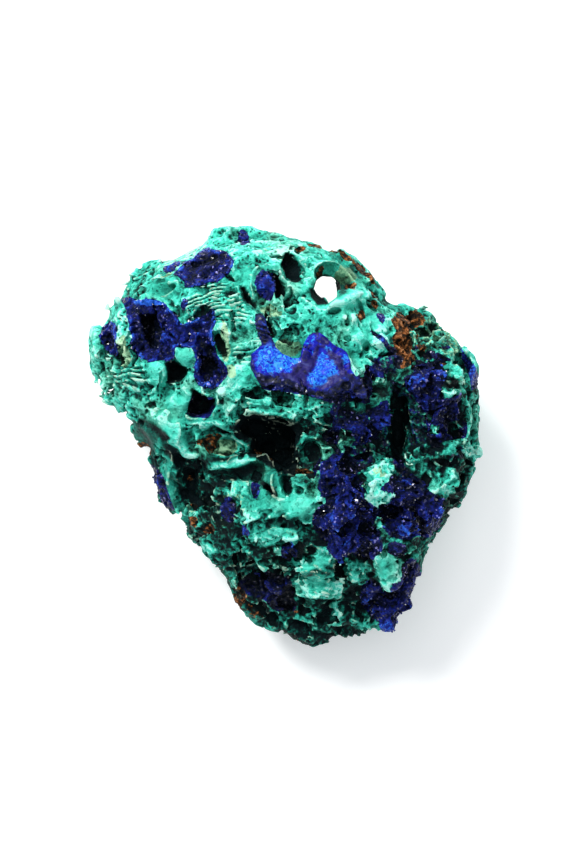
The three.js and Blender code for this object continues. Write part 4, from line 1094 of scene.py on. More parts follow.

# %% [markdown]
# Patches are turned ovals, laid one over the other like glazes. Tone says how pale the green is, from
# nought to one, and takes in painted shade and painted highlight as well. Azure, rust and olive say
# how much of that mineral lies there. The painted shade mark says where azurite is darkened as if it lay
# in shade, cyan where the mass is clear cyan and where crust rims get a painted highlight, and calm
# where the skin is smooth.

# %% Patches
PATCHES = {}  # u, v, half sizes, turn, amount
# tone is partly the green's own paleness and partly painted light: painted shade over the lower half and the
# right, which face away from the key light, and painted highlight on swellings and ledges that face it
PATCHES["tone"] = [
    (340, 520, 140, 130, 0, 0.08), (200, 520, 60, 80, 40, 0.0), (430, 430, 60, 90, 0, 0.1),
    (270, 400, 60, 22, -8, 0.55), (120, 375, 34, 26, 0, 0.55), (310, 450, 20, 26, 0, 0.22),
    (148, 438, 22, 15, -42, 0.28), (174, 450, 6, 7, 0, 0.0), (167, 462, 7, 24, 8, 0.5),
    (174, 492, 7, 20, 14, 0.5), (184, 512, 12, 6, -25, 0.55), (240, 473, 30, 8, 8, 0.22),
    (213, 474, 10, 5, 10, 0.42), (222, 445, 24, 11, 0, 0.8), (242, 492, 20, 14, 0, 0.62),
    (265, 503, 18, 10, 10, 0.82), (252, 515, 11, 4, 10, 0.9), (176, 404, 10, 9, -20, 0.92),
    (232, 410, 8, 7, 0, 0.75), (290, 502, 20, 14, 30, 0.85), (312, 500, 16, 12, 0, 0.85),
    (310, 516, 10, 8, 0, 0.85), (285, 519, 16, 6, 0, 0.25), (265, 525, 14, 8, 10, 0.4),
    (277, 536, 25, 7, 4, 0.95), (243, 520, 10, 6, 0, 0.5), (247, 549, 6, 5, 0, 0.4),
    (280, 551, 7, 5, 0, 0.6), (265, 568, 12, 8, -30, 0.25), (239, 540, 8, 4, 0, 0.45),
    (212, 549, 9, 5, -10, 0.75), (237, 574, 9, 4, 0, 0.35), (318, 556, 26, 11, 12, 0.85),
    (327, 574, 14, 5, 0, 0.35), (300, 570, 8, 5, 0, 0.5), (318, 588, 26, 11, -8, 0.9),
    (292, 595, 10, 9, 0, 0.55), (334, 591, 4, 4, 0, 0.03), (357, 570, 12, 9, -10, 0.5),
    (351, 572, 14, 3, -65, 0.75), (385, 567, 12, 19, 0, 1.0), (399, 570, 8, 10, 0, 0.8),
    (388, 585, 14, 6, 0, 0.6), (338, 612, 7, 10, 0, 0.55), (355, 601, 8, 6, 0, 0.25),
    (372, 620, 11, 12, 0, 0.5), (355, 626, 14, 6, 0, 0.3), (277, 612, 7, 11, 10, 0.4),
    (287, 625, 14, 5, -20, 0.35), (303, 625, 14, 9, 0, 0.2), (380, 468, 14, 12, 0, 0.85),
    (385, 481, 19, 6, -5, 0.95), (372, 497, 12, 14, 0, 0.85), (358, 496, 8, 7, 0, 0.5),
    (388, 496, 6, 5, 0, 0.9), (378, 508, 8, 5, 0, 0.85), (408, 458, 10, 6, -50, 0.35),
    (421, 468, 14, 5, -35, 0.4), (444, 480, 14, 11, 20, 0.6), (440, 465, 8, 8, 0, 0.4),
    (470, 425, 5, 22, 0, 0.5), (474, 451, 10, 7, 0, 0.85), (448, 447, 8, 6, 30, 0.45),
    (452, 430, 8, 8, 0, 0.25), (432, 340, 34, 30, -20, 0.36), (452, 372, 12, 14, -30, 0.55),
    (447, 389, 10, 6, 10, 0.35), (350, 397, 9, 4, -5, 0.75), (357, 406, 6, 5, 0, 0.55),
    (376, 388, 8, 12, 20, 0.15), (385, 403, 7, 8, 0, 0.25), (397, 433, 6, 5, 0, 0.5),
    (325, 433, 10, 6, -20, 0.35), (383, 527, 6, 6, 0, 0.5), (396, 538, 7, 4, 0, 0.55),
    (408, 550, 6, 9, 0, 0.35), (338, 300, 28, 10, 12, 1.0), (345, 319, 16, 7, 5, 0.6),
    (356, 335, 12, 10, 0, 0.9), (381, 324, 16, 10, 0, 1.0), (374, 345, 16, 9, 0, 0.9),
    (355, 366, 12, 9, -60, 0.9), (237, 378, 25, 10, 42, 1.0), (245, 247, 50, 9, -6, 0.8),
    (163, 289, 18, 9, 0, 0.7), (140, 275, 22, 10, 20, 0.6), (122, 330, 4, 30, 5, 0.65),
    (159, 372, 9, 12, 20, 0.9), (184, 356, 9, 10, 0, 0.7), (240, 312, 22, 26, 10, 0.68),
    (245, 285, 9, 18, 0, 0.8), (180, 425, 14, 10, 0, 0.8),
]
PATCHES["azure"] = [
    (385, 420, 60, 50, 0, 0.4), (360, 500, 46, 60, 0, 0.36), (172, 267, 9, 4, 20, 1),
    (245, 239, 6, 8, 0, 1), (186, 303, 4, 7, -20, 1), (286, 265, 3, 3, 0, 0.8), (383, 317, 5, 4, 0, 0.9),
    (385, 344, 18, 3, -45, 1), (384, 366, 20, 13, 15, 0.55), (355, 387, 16, 9, -20, 1),
    (447, 405, 16, 10, 0, 0.42), (455, 458, 12, 12, 0, 0.5), (425, 447, 14, 12, 0, 0.46),
    (345, 411, 16, 14, 0, 0.6), (366, 426, 26, 18, 0, 0.56), (386, 436, 14, 12, 0, 0.5),
    (376, 410, 16, 12, 0, 0.5), (352, 460, 18, 14, 0, 0.55), (338, 484, 20, 16, 0, 0.85),
    (332, 520, 18, 16, 0, 0.85), (357, 513, 18, 13, 0, 1), (350, 537, 26, 15, 0, 1),
    (366, 549, 15, 10, 0, 1), (340, 551, 7, 9, 0, 1), (406, 486, 18, 9, -20, 1), (414, 506, 24, 14, 0, 1),
    (430, 497, 13, 6, 0, 1), (408, 528, 22, 10, 0, 1), (426, 520, 16, 16, 0, 1), (391, 487, 9, 5, 0, 0.9),
    (398, 549, 9, 8, 0, 0.9), (412, 573, 10, 14, 0, 1), (406, 592, 16, 13, 0, 1), (392, 610, 20, 15, 0, 1),
    (370, 594, 12, 14, 0, 0.8), (255, 488, 5, 7, 0, 1), (290, 552, 7, 10, 0, 1), (245, 530, 6, 4, 0, 0.8),
    (228, 509, 7, 12, 0, 0.9), (265, 585, 26, 14, 0, 0.7), (282, 604, 14, 8, 0, 0.8),
    (158, 480, 6, 16, 30, 1), (167, 497, 6, 14, 32, 1), (416, 349, 4, 3, 0, 0.6), (432, 355, 8, 5, 0, 0.8),
    (444, 346, 5, 3, 0, 0.9),
]
PATCHES["rust"] = [
    (402, 342, 8, 27, 6, 1.2), (413, 322, 10, 10, 20, 0.8), (421, 346, 4, 4, 0, 1),
    (430, 366, 16, 3, 8, 0.9), (409, 360, 5, 9, 0, 1), (360, 316, 4, 5, 0, 1), (384, 316, 3, 4, 0, 0.9),
    (315, 246, 7, 3, -20, 0.7), (332, 249, 7, 2.5, -20, 0.9), (347, 257, 8, 3, -35, 0.9),
    (359, 267, 8, 3, -45, 0.9), (369, 277, 8, 3, -50, 1), (374, 296, 4, 5, 0, 0.9),
    (374, 307, 4, 3, 0, 0.9), (300, 250, 5, 4, 0, 0.8), (351, 288, 5, 4, 0, 1.2), (319, 276, 3, 8, 0, 0.9),
    (205, 444, 10, 6, 0, 0.62), (214, 437, 9, 4, 0, 0.58), (208, 451, 5, 4, 0, 0.62),
    (195, 505, 5, 5, 0, 0.9), (193, 522, 5, 4, 0, 1), (210, 530, 6, 4, 0, 1), (190, 480, 3, 3, 0, 0.9),
    (302, 470, 9, 2, 0, 0.9), (250, 612, 14, 8, -30, 0.42), (290, 612, 10, 4, 0, 0.42),
    (146, 450, 9, 4, -35, 0.7), (205, 495, 20, 14, 0, 0.3), (240, 598, 8, 12, -30, 0.6),
]
PATCHES["painted_shade"] = [  # painted shade in hollows and on the side away from the light
    (425, 400, 62, 74, 0, 0.8), (440, 470, 50, 60, 0, 0.85), (370, 440, 44, 60, 0, 0.65),
    (352, 520, 44, 46, 0, 0.5), (262, 590, 50, 40, 0, 0.8), (424, 512, 28, 22, 0, 0.6),
    (199, 404, 16, 14, 0, 0.8), (250, 430, 30, 24, 0, 1), (162, 490, 16, 30, 30, 0.7),
    (151, 330, 9, 17, -6, 0.8), (206, 266, 17, 7, 14, 0.5), (209, 360, 6, 15, 6, 0.6),
    (405, 590, 30, 40, 0, 0.7),
]
PATCHES["band"] = []
# cyan on the crust rims is painted highlight, where the rims face the key light
PATCHES["cyan"] = [
    (149, 301, 18, 3, -8, 0.8), (204, 320, 9, 3, 18, 0.7), (213, 318, 4, 6, 0, 0.4),
    (230, 265, 5, 5, 0, 0.6), (110, 326, 6, 4, 0, 0.3), (182, 275, 6, 5, 0, 0.25),
    (208, 250, 10, 3, 0, 0.4), (214, 340, 2, 12, 0, 0.4),
]
PATCHES["calm"] = [(u, v, half_u, half_v, 0, 1) for u, v, half_u, half_v in CALM]
PATCHES["olive"] = [
    (124, 352, 6, 15, 0, 1), (226, 342, 4, 20, 0, 0.9), (231, 372, 6, 8, 0, 0.8), (287, 348, 14, 8, 0, 0.8),
    (166, 275, 7, 2, 20, 0.7), (222, 447, 16, 8, 0, 0.7), (345, 276, 10, 9, 0, 0.9),
    (272, 312, 12, 7, 0, 0.6), (215, 495, 14, 10, -40, 0.5), (378, 472, 8, 6, 0, 0.5),
    (292, 532, 8, 6, 0, 0.4), (400, 325, 6, 6, 0, 0.5), (280, 255, 24, 8, -10, 0.4),
    (434, 338, 32, 24, -20, 0.5), (215, 500, 34, 34, 0, 0.42), (250, 560, 44, 30, 0, 0.36),
]
print("patches:", sum(len(rows) for rows in PATCHES.values()))

# %% [markdown]
# What has a shape of its own is painted inside an outline, and later rows lie over earlier ones.

# %% Painted outlines
PAINTED = {}  # what is painted inside an outline: amount, softness in millimetres, corners
# tone inside outlines: partly the green's own paleness, partly painted light: painted shade in the cave,
# slits and pits and along the lower edge, painted highlight on the lit tops of the plates
PAINTED["tone"] = [
    *[(tone, 0.16, corners) for _, _, tone, corners in PLATES],
    (-0.1, 0.15, [(292, 546), (305, 541), (320, 538), (327, 545), (312, 552), (298, 558)]),
    (-0.1, 0.15, [(254, 546), (266, 549), (274, 546), (277, 554), (266, 560), (256, 557)]),
    (-0.1, 0.2, [(211, 556), (235, 552), (250, 556), (248, 572), (232, 570), (222, 568)]),
    (-0.1, 0.2, [(234, 582), (252, 590), (264, 618), (250, 616)]),
    (0.0, 0.3, [(288, 604), (318, 601), (330, 606), (330, 630), (316, 645), (296, 636), (284, 620)]),
    (0.05, 0.3, [(346, 586), (372, 591), (374, 613), (352, 630), (342, 626), (347, 605)]),
    (0.05, 0.3, [(378, 385), (402, 385), (406, 430), (394, 452), (380, 430)]),
    (-0.1, 0.2, [(457, 460), (474, 458), (470, 480), (464, 500), (452, 520), (438, 522), (446, 505),
        (456, 490)]),
    # painted shade along the lower edge, which faces away from the light
    (-0.3, 0.25, [(222, 560), (236, 575), (250, 598), (266, 622), (286, 640), (310, 652), (332, 650),
        (335, 632), (318, 634), (300, 634), (284, 628), (266, 604), (252, 586), (236, 566)]),
    (0.28, 0.2, [(268, 600), (280, 598), (288, 606), (290, 620), (284, 630), (274, 622)]),
    (0.22, 0.2, [(298, 608), (318, 606), (324, 616), (322, 630), (306, 634), (298, 624)]),
    (0.05, 0.2, [(346, 596), (366, 598), (371, 612), (364, 626), (350, 626), (345, 610)]),
    (0.34, 0.2, [(358, 614), (376, 612), (380, 622), (372, 632), (358, 632)]),
    (-0.3, 0.2, [(330, 640), (350, 630), (372, 634), (400, 634), (400, 642), (350, 646)]),
    (0.16, 0.3, [(384, 376), (400, 377), (404, 390), (414, 394), (424, 402), (430, 420), (440, 440),
        (436, 458), (420, 462), (404, 446), (398, 430), (390, 400)]),
    (-0.1, 0.3, [(430, 418), (462, 400), (466, 440), (444, 442), (440, 456), (456, 462), (440, 472),
        (424, 462)]),
    (0.42, 0.1, FORMS["rib"]), (0.45, 0.1, FORMS["low_rib"]), (0.4, 0.1, FORMS["fin"]),
    (-0.2, 0.1, [(447, 376), (458, 380), (458, 388), (446, 390), (438, 384)]),
    (0.42, 0.15, [(471, 391), (478, 392), (479, 410), (477, 430), (480, 440), (472, 440), (469, 420),
        (465, 404)]),
    (0.6, 0.1, [(425, 414), (430, 413), (431, 419), (427, 421)]),
    (0.4, 0.1, [(430, 425), (437, 427), (436, 433), (430, 433)]),
    (0.05, 0.1, [(405, 465), (416, 472), (428, 480), (426, 489), (414, 482), (406, 474)]),
    # painted shade in the cave
    (-0.5, 0.2, [(232, 427), (243, 415), (254, 412), (272, 416), (300, 423), (300, 471), (286, 474),
        (262, 462), (250, 457), (248, 442), (236, 438)]),
    (0.42, 0.2, [(276, 342), (300, 342), (300, 356), (286, 354), (276, 348)]), (-0.2, 0.1, FORMS["slot"]),
    (-0.1, 0.1, FORMS["crescent"]),
    (-0.1, 0.1, [(165, 444), (172, 446), (178, 449), (182, 458), (188, 463), (200, 463), (200, 470),
        (182, 472), (172, 462), (166, 454)]),
    (0.0, 0.1, [(150, 424), (157, 426), (164, 432), (171, 438), (166, 443), (158, 434), (150, 428)]),
    (0.55, 0.1, [(161, 458), (168, 455), (173, 462), (177, 480), (180, 500), (186, 511), (198, 513),
        (196, 518), (184, 519), (174, 506), (168, 486), (162, 474)]),
    (-0.3, 0.1, [(166, 364), (174, 362), (182, 367), (183, 382), (168, 383)]),
    (0.05, 0.15, [(190, 388), (200, 392), (217, 395), (214, 400), (192, 400)]),
    (0.05, 0.1, [(214, 334), (221, 334), (227, 345), (228, 357), (222, 358), (217, 345)]),
    (0.05, 0.1, FORMS["slit"]),
    (-0.2, 0.1, [(272, 275), (279, 278), (284, 286), (283, 295), (276, 300), (273, 292), (275, 283)]),
    (-0.1, 0.1, FORMS["hole_lip"]),
    (0.12, 0.15, [(334, 273), (345, 278), (350, 288), (348, 295), (338, 300), (337, 284)]),
    (0.12, 0.3, [(207, 471), (225, 470), (245, 467), (262, 464), (264, 472), (240, 474), (215, 477)]),
    (0.08, 0.2, [(178, 462), (200, 462), (206, 480), (204, 500), (190, 512), (182, 500), (178, 480)]),
]
PAINTED["olive"] = [
    (0.3, 0.3, [(262, 598), (380, 600), (384, 634), (300, 640), (270, 625)]),
    (0.4, 0.1, [(441, 364), (450, 360), (462, 362), (468, 372), (470, 388), (462, 392), (447, 378)]),
]
PAINTED["azure"] = [
    (1, 0.2, [(262, 584), (285, 580), (296, 592), (290, 606), (272, 608), (262, 598)]),
    (1, 0.15, [(402, 387), (410, 376), (425, 370), (440, 363), (444, 372), (448, 378), (438, 384),
        (442, 398), (440, 420), (432, 436), (424, 420), (418, 404), (410, 392)]),
    (1, 0.1, FORMS["blue_edge"]), (1, 0.15, [(461, 418), (467, 424), (466, 438), (460, 440), (456, 430)]),
    (1, 0.15, [(396, 452), (402, 460), (410, 474), (420, 486), (424, 495), (414, 491), (404, 476),
        (394, 463)]),
    (1, 0.15, [(426, 496), (442, 498), (442, 512), (434, 520), (420, 512)]),
    *[(0, 0.1, corners) for corners in BARE],
    (0.5, 0.2, [(386, 376), (400, 378), (404, 392), (416, 396), (426, 416), (432, 436), (424, 452),
        (406, 444), (394, 420)]),
    *[(1, 0.1, OUTLINES[name]) for name in OUTLINES if name != "azurite_mass"],
    (1, 0.3, [(238, 427), (252, 420), (272, 422), (292, 430), (291, 464), (268, 456), (257, 448),
        (255, 438)]),
    (0, 0.1, [(163, 458), (173, 462), (177, 480), (180, 500), (186, 511), (184, 519), (174, 506),
        (167, 486)]),
    (1, 0.1, [(191, 398), (200, 396), (214, 397), (216, 404), (212, 414), (208, 418), (199, 419),
        (190, 416), (186, 412), (190, 404)]),
    (1, 0.15, [(255, 372), (264, 374), (278, 376), (298, 384), (316, 391), (332, 388), (342, 380),
        (352, 376), (370, 382), (370, 404), (330, 402), (300, 394), (262, 390)]),
    (0.9, 0.2, [(254, 314), (262, 314), (270, 332), (275, 350), (262, 347), (256, 330)]),
]
# painted shade inside outlines: the druses on the right, the mass's dark edges, the crust hollows, the cave
# and the foot
PAINTED["painted_shade"] = [
    (0.45, 0.15, [(402, 387), (410, 376), (425, 370), (440, 363), (446, 378), (428, 381), (420, 384),
        (412, 389)]),
    (0.8, 0.2, [(254, 314), (262, 314), (270, 332), (273, 342), (262, 345), (256, 330)]),
    (0.8, 0.2, [(253, 374), (264, 376), (278, 379), (298, 386), (316, 393), (332, 391), (342, 384),
        (356, 382), (372, 386), (370, 404), (330, 402), (300, 394), (262, 390)]),
    (0.6, 0.15, [(410, 390), (440, 384), (446, 400), (440, 420), (432, 436), (424, 420), (418, 404)]),
    (0.1, 0.2, FORMS["blue_edge"]), (1, 0.3, [(230, 560), (300, 560), (300, 612), (282, 620), (240, 604)]),
    (1.0, 0.3, [(137, 308), (160, 310), (162, 330), (160, 350), (150, 354), (141, 346), (136, 325)]),
    (0.7, 0.3, [(186, 264), (206, 254), (218, 255), (222, 262), (216, 270), (206, 280), (192, 282),
        (186, 274)]),
    (1.1, 0.2, [(199, 260), (206, 254), (217, 255), (222, 261), (214, 266), (204, 266)]),
    (0.8, 0.3, [(204, 346), (213, 346), (218, 360), (214, 376), (207, 376), (203, 362)]),
    (1.2, 0.1, [(234, 428), (243, 416), (254, 413), (272, 417), (300, 424), (334, 423), (330, 434),
        (300, 438), (298, 470), (286, 473), (262, 461), (251, 456), (249, 441), (238, 437)]),
    (0.9, 0.1, [(191, 396), (214, 396), (216, 404), (208, 418), (190, 416), (186, 412)]),
]
PAINTED["rust"] = [
    (0.5, 0.15, [(246, 600), (258, 606), (264, 620), (254, 618)]),
]
PAINTED["band"] = [
    (1, 0.2, [(292, 360), (302, 362), (312, 360), (316, 348), (324, 345), (334, 354), (344, 360),
        (348, 374), (338, 382), (330, 388), (318, 389), (300, 386), (280, 378), (262, 374), (264, 370),
        (290, 372)]),
]
PAINTED["cyan"] = [
    (1, 0.45, [(255, 352), (264, 347), (276, 350), (288, 356), (299, 361), (292, 373), (276, 374),
        (262, 371), (256, 362)]),
    (1, 0.4, [(320, 349), (327, 350), (330, 359), (337, 367), (339, 375), (328, 379), (323, 384),
        (314, 387), (307, 383), (306, 376), (312, 370), (317, 364)]),
    (0.55, 0.25, [(338, 352), (347, 356), (352, 366), (350, 374), (342, 372), (340, 362)]),
]


print("painted outlines:", sum(len(rows) for rows in PAINTED.values()))

# %% [markdown]
# Painting reads the rows at every vertex. The places are shaken by noise first, so that no edge comes out
# smooth. The hidden sides take their colour from noise, and near the showy face the sketch takes over.

# %% Paint every vertex
MARKS = ("tone", "azure", "rust", "olive", "painted_shade", "band", "cyan", "calm")
START_TONE = 0.56
PATCH_END = 1.3  # in half sizes of the patch
PATCH_FADE = 0.5
PAINT_MARGIN = 0.8
SIDE_LEVEL = 3.6  # millimetres, where the sketch hands over to the hidden sides
SIDE_FADE = 1.8
FACE_REACH = 2.4
STAIN_REACH = 2.2
STAIN_FADE = 0.8


def lined_with(points, x, y, key, value):
    """Lays what is painted inside outlines over the values of one attribute."""
    for amount, soft, corners in PAINTED.get(key, []):
        spots = np.array([place(u, v) for u, v in corners])
        right_of = points[:, :2] > spots.min(0) - PAINT_MARGIN
        left_of = points[:, :2] < spots.max(0) + PAINT_MARGIN
        near = np.flatnonzero(np.all(right_of & left_of, 1))
        cover = np.clip(0.5 - outline_distance(x[near], y[near], corners) / soft, 0, 1)
        value[near] += (amount - value[near]) * cover
    return value


def turned_offsets(x, y, u, v, turn):
    """How far places lie along and across a line that is turned about a sketch place."""
    spot_x, spot_y = place(u, v)
    cos, sin = math.cos(math.radians(turn)), math.sin(math.radians(turn))
    return (x - spot_x) * cos + (y - spot_y) * sin, (y - spot_y) * cos - (x - spot_x) * sin


def patched(points, key):
    """The patches and painted outlines of one attribute, at points in millimetres."""
    ragged = np.stack([sample(w, points) for w in (warp[0], warp[1], fine_warp)], 1)
    x = points[:, 0] + 0.16 * ragged[:, 0] + 0.10 * ragged[:, 2]
    y = points[:, 1] + 0.16 * ragged[:, 1] - 0.10 * ragged[:, 2]
    value = np.full(len(points), START_TONE if key == "tone" else 0.0)
    for u, v, half_u, half_v, turn, amount in PATCHES[key]:
        along, across = turned_offsets(x, y, u, v, turn)
        apart = np.sqrt((along / (half_u * UNIT)) ** 2 + (across / (half_v * UNIT)) ** 2)
        cover = np.clip((PATCH_END - apart) / PATCH_FADE, 0, 1)
        cover = cover * cover * (3 - 2 * cover)
        value += (amount - value) * cover
    x = points[:, 0] + 0.07 * ragged[:, 0] + 0.07 * ragged[:, 2]
    y = points[:, 1] + 0.07 * ragged[:, 1] - 0.07 * ragged[:, 2]
    return lined_with(points, x, y, key, value)


def fibres(points):
    """How fibrous the skin is, and how far across the fibres each point lies."""
    fibrous, across = np.zeros(len(points)), points[:, 1] + 0.5 * points[:, 2]
    for u, v, half_u, half_v, turn, *_ in SLATS:
        along, aside = turned_offsets(points[:, 0], points[:, 1], u, v, turn)
        apart = np.sqrt((along / (half_u * UNIT)) ** 2 + (aside / (half_v * UNIT)) ** 2)
        cover = np.clip((1.4 - apart) / 0.6, 0, 1)
        fibrous = np.maximum(fibrous, cover)
        across = across + (aside - 0.3 * points[:, 2] - across) * cover
    return fibrous, across


hidden_tone = lattice_noise(60, 2.2)
hidden_azure = lattice_noise(61, 1.7)
hidden_rust = lattice_noise(62, 1.3)


def paint(piece):
    """Gives a piece the attributes that its material reads."""
    points = read_out(piece.data.vertices, "co").astype(float) / MM
    own = sample(stone, points)
    below = level_at(points[:, 0], points[:, 1]) - points[:, 2]
    face = np.clip(np.maximum((points[:, 2] - SIDE_LEVEL) / SIDE_FADE, FACE_REACH - below), 0, 1)
    near_face = face * np.clip((STAIN_REACH - below) / STAIN_FADE, 0, 1)  # azurite and rust stay near it
    hidden = {
        "tone": 0.42 + 0.5 * sample(hidden_tone, points),
        "painted_shade": np.clip(0.5 + sample(hidden_tone, points[:, [1, 0, 2]]), 0, 1),
        "azure": np.clip(3 * sample(hidden_azure, points) - 0.7, 0, 1),
        "rust": np.clip(3 * sample(hidden_rust, points) - 1.1, 0, 1),
        "olive": np.clip(2 * sample(hidden_rust, points[:, [1, 0, 2]]) - 1.0, 0, 1),
    }
    marks = {
        # how far the surface stands out; the materials turn this into painted shade in hollows and painted
        # highlight on crests
        "crest": np.clip((sample(crest_field, points) - own) / 0.03, -1.5, 1.5),
        "ridge": np.clip((sample(ridge_field, points) - own) / 0.08, -1.5, 1.5),
        "broad": np.minimum((sample(broad_field, points, COARSE) - own) / 0.25, 1.1),
        "deep": np.minimum((sample(deep_field, points, COARSE) - own) / 0.4, 0.8),
    }
    for key in MARKS:
        unseen = hidden.get(key, 0.0)
        share = near_face if key in ("azure", "rust") else face
        marks[key] = unseen + (patched(points, key) - unseen) * share
    marks["fibrous"], marks["across"] = fibres(points)
    for key, value in marks.items():
        layer = piece.data.attributes.new(key, "FLOAT", "POINT")
        layer.data.foreach_set("value", np.asarray(value, np.float32))


for piece in [*rocks.values(), *growths.values()]:
    paint(piece)
print("painted pieces:", len(rocks) + len(growths))

# %% [markdown]
# Azurite crystals are small flat-sided prisms with slanted ends. One is made by hand: a cube is drawn out,
# and two planes cut its end. It is then set thousands of times on the blue parts, each time turned and
# sized at random, with its foot in the crust. Real faces catch the light one by one, which no bump can do.
# The copies differ only in place, so their corners are worked out together and kept as one mesh.

# %% One crystal
CRYSTAL_SIDES = (0.9, 0.55, 1.7)
CRYSTAL_CUTS = ((0.75, 0.2, 0.9), (-0.6, -0.7, 0.8))
CUT_HEIGHT = 0.62
bpy.ops.object.select_all(action="DESELECT")
bpy.ops.mesh.primitive_cube_add(size=1)
crystal = bpy.context.object
bpy.ops.object.mode_set(mode="EDIT")
bpy.ops.mesh.select_all(action="SELECT")
bpy.ops.transform.resize(value=CRYSTAL_SIDES)
for facing in CRYSTAL_CUTS:
    bpy.ops.mesh.select_all(action="SELECT")
    bpy.ops.mesh.bisect(plane_co=(0, 0, CUT_HEIGHT), plane_no=facing, use_fill=True, clear_outer=True)
bpy.ops.mesh.select_all(action="SELECT")
bpy.ops.mesh.quads_convert_to_tris()
bpy.ops.mesh.normals_make_consistent(inside=False)
bpy.ops.object.mode_set(mode="OBJECT")
crystal_corners = np.array([v.co for v in crystal.data.vertices])
crystal_faces = np.array([p.vertices for p in crystal.data.polygons])
bpy.data.objects.remove(crystal)
print("corners and faces of a crystal:", len(crystal_corners), len(crystal_faces))

# %% [markdown]
# The crystals are strewn on the vertices of the blue parts. More of them stand on crests and open faces
# than in deep shade, where nobody would see them.

# %% Crystals over the blue parts
CRYSTAL_COUNT = 12_000
CRYSTAL_SIZE = (0.03, 0.1)
CRYSTAL_LEAN = 0.45
CRYSTAL_SEED = 77
CRYSTAL_MARKS = ("azure", "deep", "painted_shade", "broad", "ridge", "crest", "cyan")


def mesh_points(piece):
    """A painted piece's places in millimetres, normals and marks."""
    attributes = piece.data.attributes
    marks = {name: read_out(attributes[name].data, "value", width=1)[:, 0] for name in CRYSTAL_MARKS}
    return read_out(piece.data.vertices, "co") / MM, read_out(piece.data.vertices, "normal"), marks


def spread_crystals():
    """All the crystals as one piece, each with the marks of the place that it stands on."""
    random = np.random.default_rng(CRYSTAL_SEED)
    points, normals, weights, kept = [], [], [], {}
    for piece in [*growths.values(), *rocks.values()]:
        where, facing, marks = mesh_points(piece)
        blue = "mass" not in piece.name and piece.name.startswith("blue")
        chance = np.ones(len(where)) if blue else np.clip(3 * marks["azure"] - 2, 0, 1)
        chance = chance * np.clip(facing[:, 2] + 0.8, 0, 1) * np.clip(1.2 - marks["broad"], 0.4, 1.8)
        chance = chance * np.clip(1.15 - marks["painted_shade"], 0.0, 1)
        points.append(where)
        normals.append(facing)
        weights.append(chance)
        for name, values in marks.items():
            kept.setdefault(name, []).append(values)
    points, normals, weights = np.concatenate(points), np.concatenate(normals), np.concatenate(weights)
    picks = random.choice(len(points), CRYSTAL_COUNT, replace=False, p=weights / weights.sum())
    out = normals[picks] + random.normal(0, CRYSTAL_LEAN, (CRYSTAL_COUNT, 3))
    out /= np.linalg.norm(out, axis=1, keepdims=True)
    side = np.cross(out, random.normal(0, 1, (CRYSTAL_COUNT, 3)))
    side /= np.linalg.norm(side, axis=1, keepdims=True)
    turned = np.stack([side, np.cross(out, side), out], axis=1)
    size = CRYSTAL_SIZE[0] + (CRYSTAL_SIZE[1] - CRYSTAL_SIZE[0]) * random.random(CRYSTAL_COUNT) ** 2
    corners = np.einsum("kc,nca->nka", crystal_corners, turned) * size[:, None, None]
    corners = corners + points[picks][:, None]
    faces = crystal_faces[None] + (np.arange(CRYSTAL_COUNT) * len(crystal_corners))[:, None, None]
    mesh = bpy.data.meshes.new("azurite_crystals")
    mesh.from_pydata((corners.reshape(-1, 3) * MM).tolist(), [], faces.reshape(-1, 3).tolist())
    shade = np.repeat(random.random(CRYSTAL_COUNT), len(crystal_corners))
    kept = {name: np.repeat(np.concatenate(v)[picks], len(crystal_corners)) for name, v in kept.items()}
    for name, values in (*kept.items(), ("shade", shade)):
        mesh.attributes.new(name, "FLOAT", "POINT").data.foreach_set("value", values.astype(np.float32))
    return new_piece("azurite_crystals", mesh)


crystals = spread_crystals()
print("crystals:", CRYSTAL_COUNT, "triangles:", len(crystals.data.polygons))

# %% [markdown]
# ## Finishes
# The materials are built from nodes on object coordinates, which here are metres, so a mapping first turns
# them into millimetres. Two effects are shared as node groups: a fine grain that varies colour and relief,
# and the random tilt of tiny crystal faces, which is what makes azurite glitter.

# %% Node helpers and shared groups
def linear(red, green, blue):
    """A screen colour, 0 to 255, as the renderer's own numbers."""
    parts = [c / 255 for c in (red, green, blue)]
    return tuple(p / 12.92 if p < 0.04045 else ((p + 0.055) / 1.055) ** 2.4 for p in parts) + (1.0,)


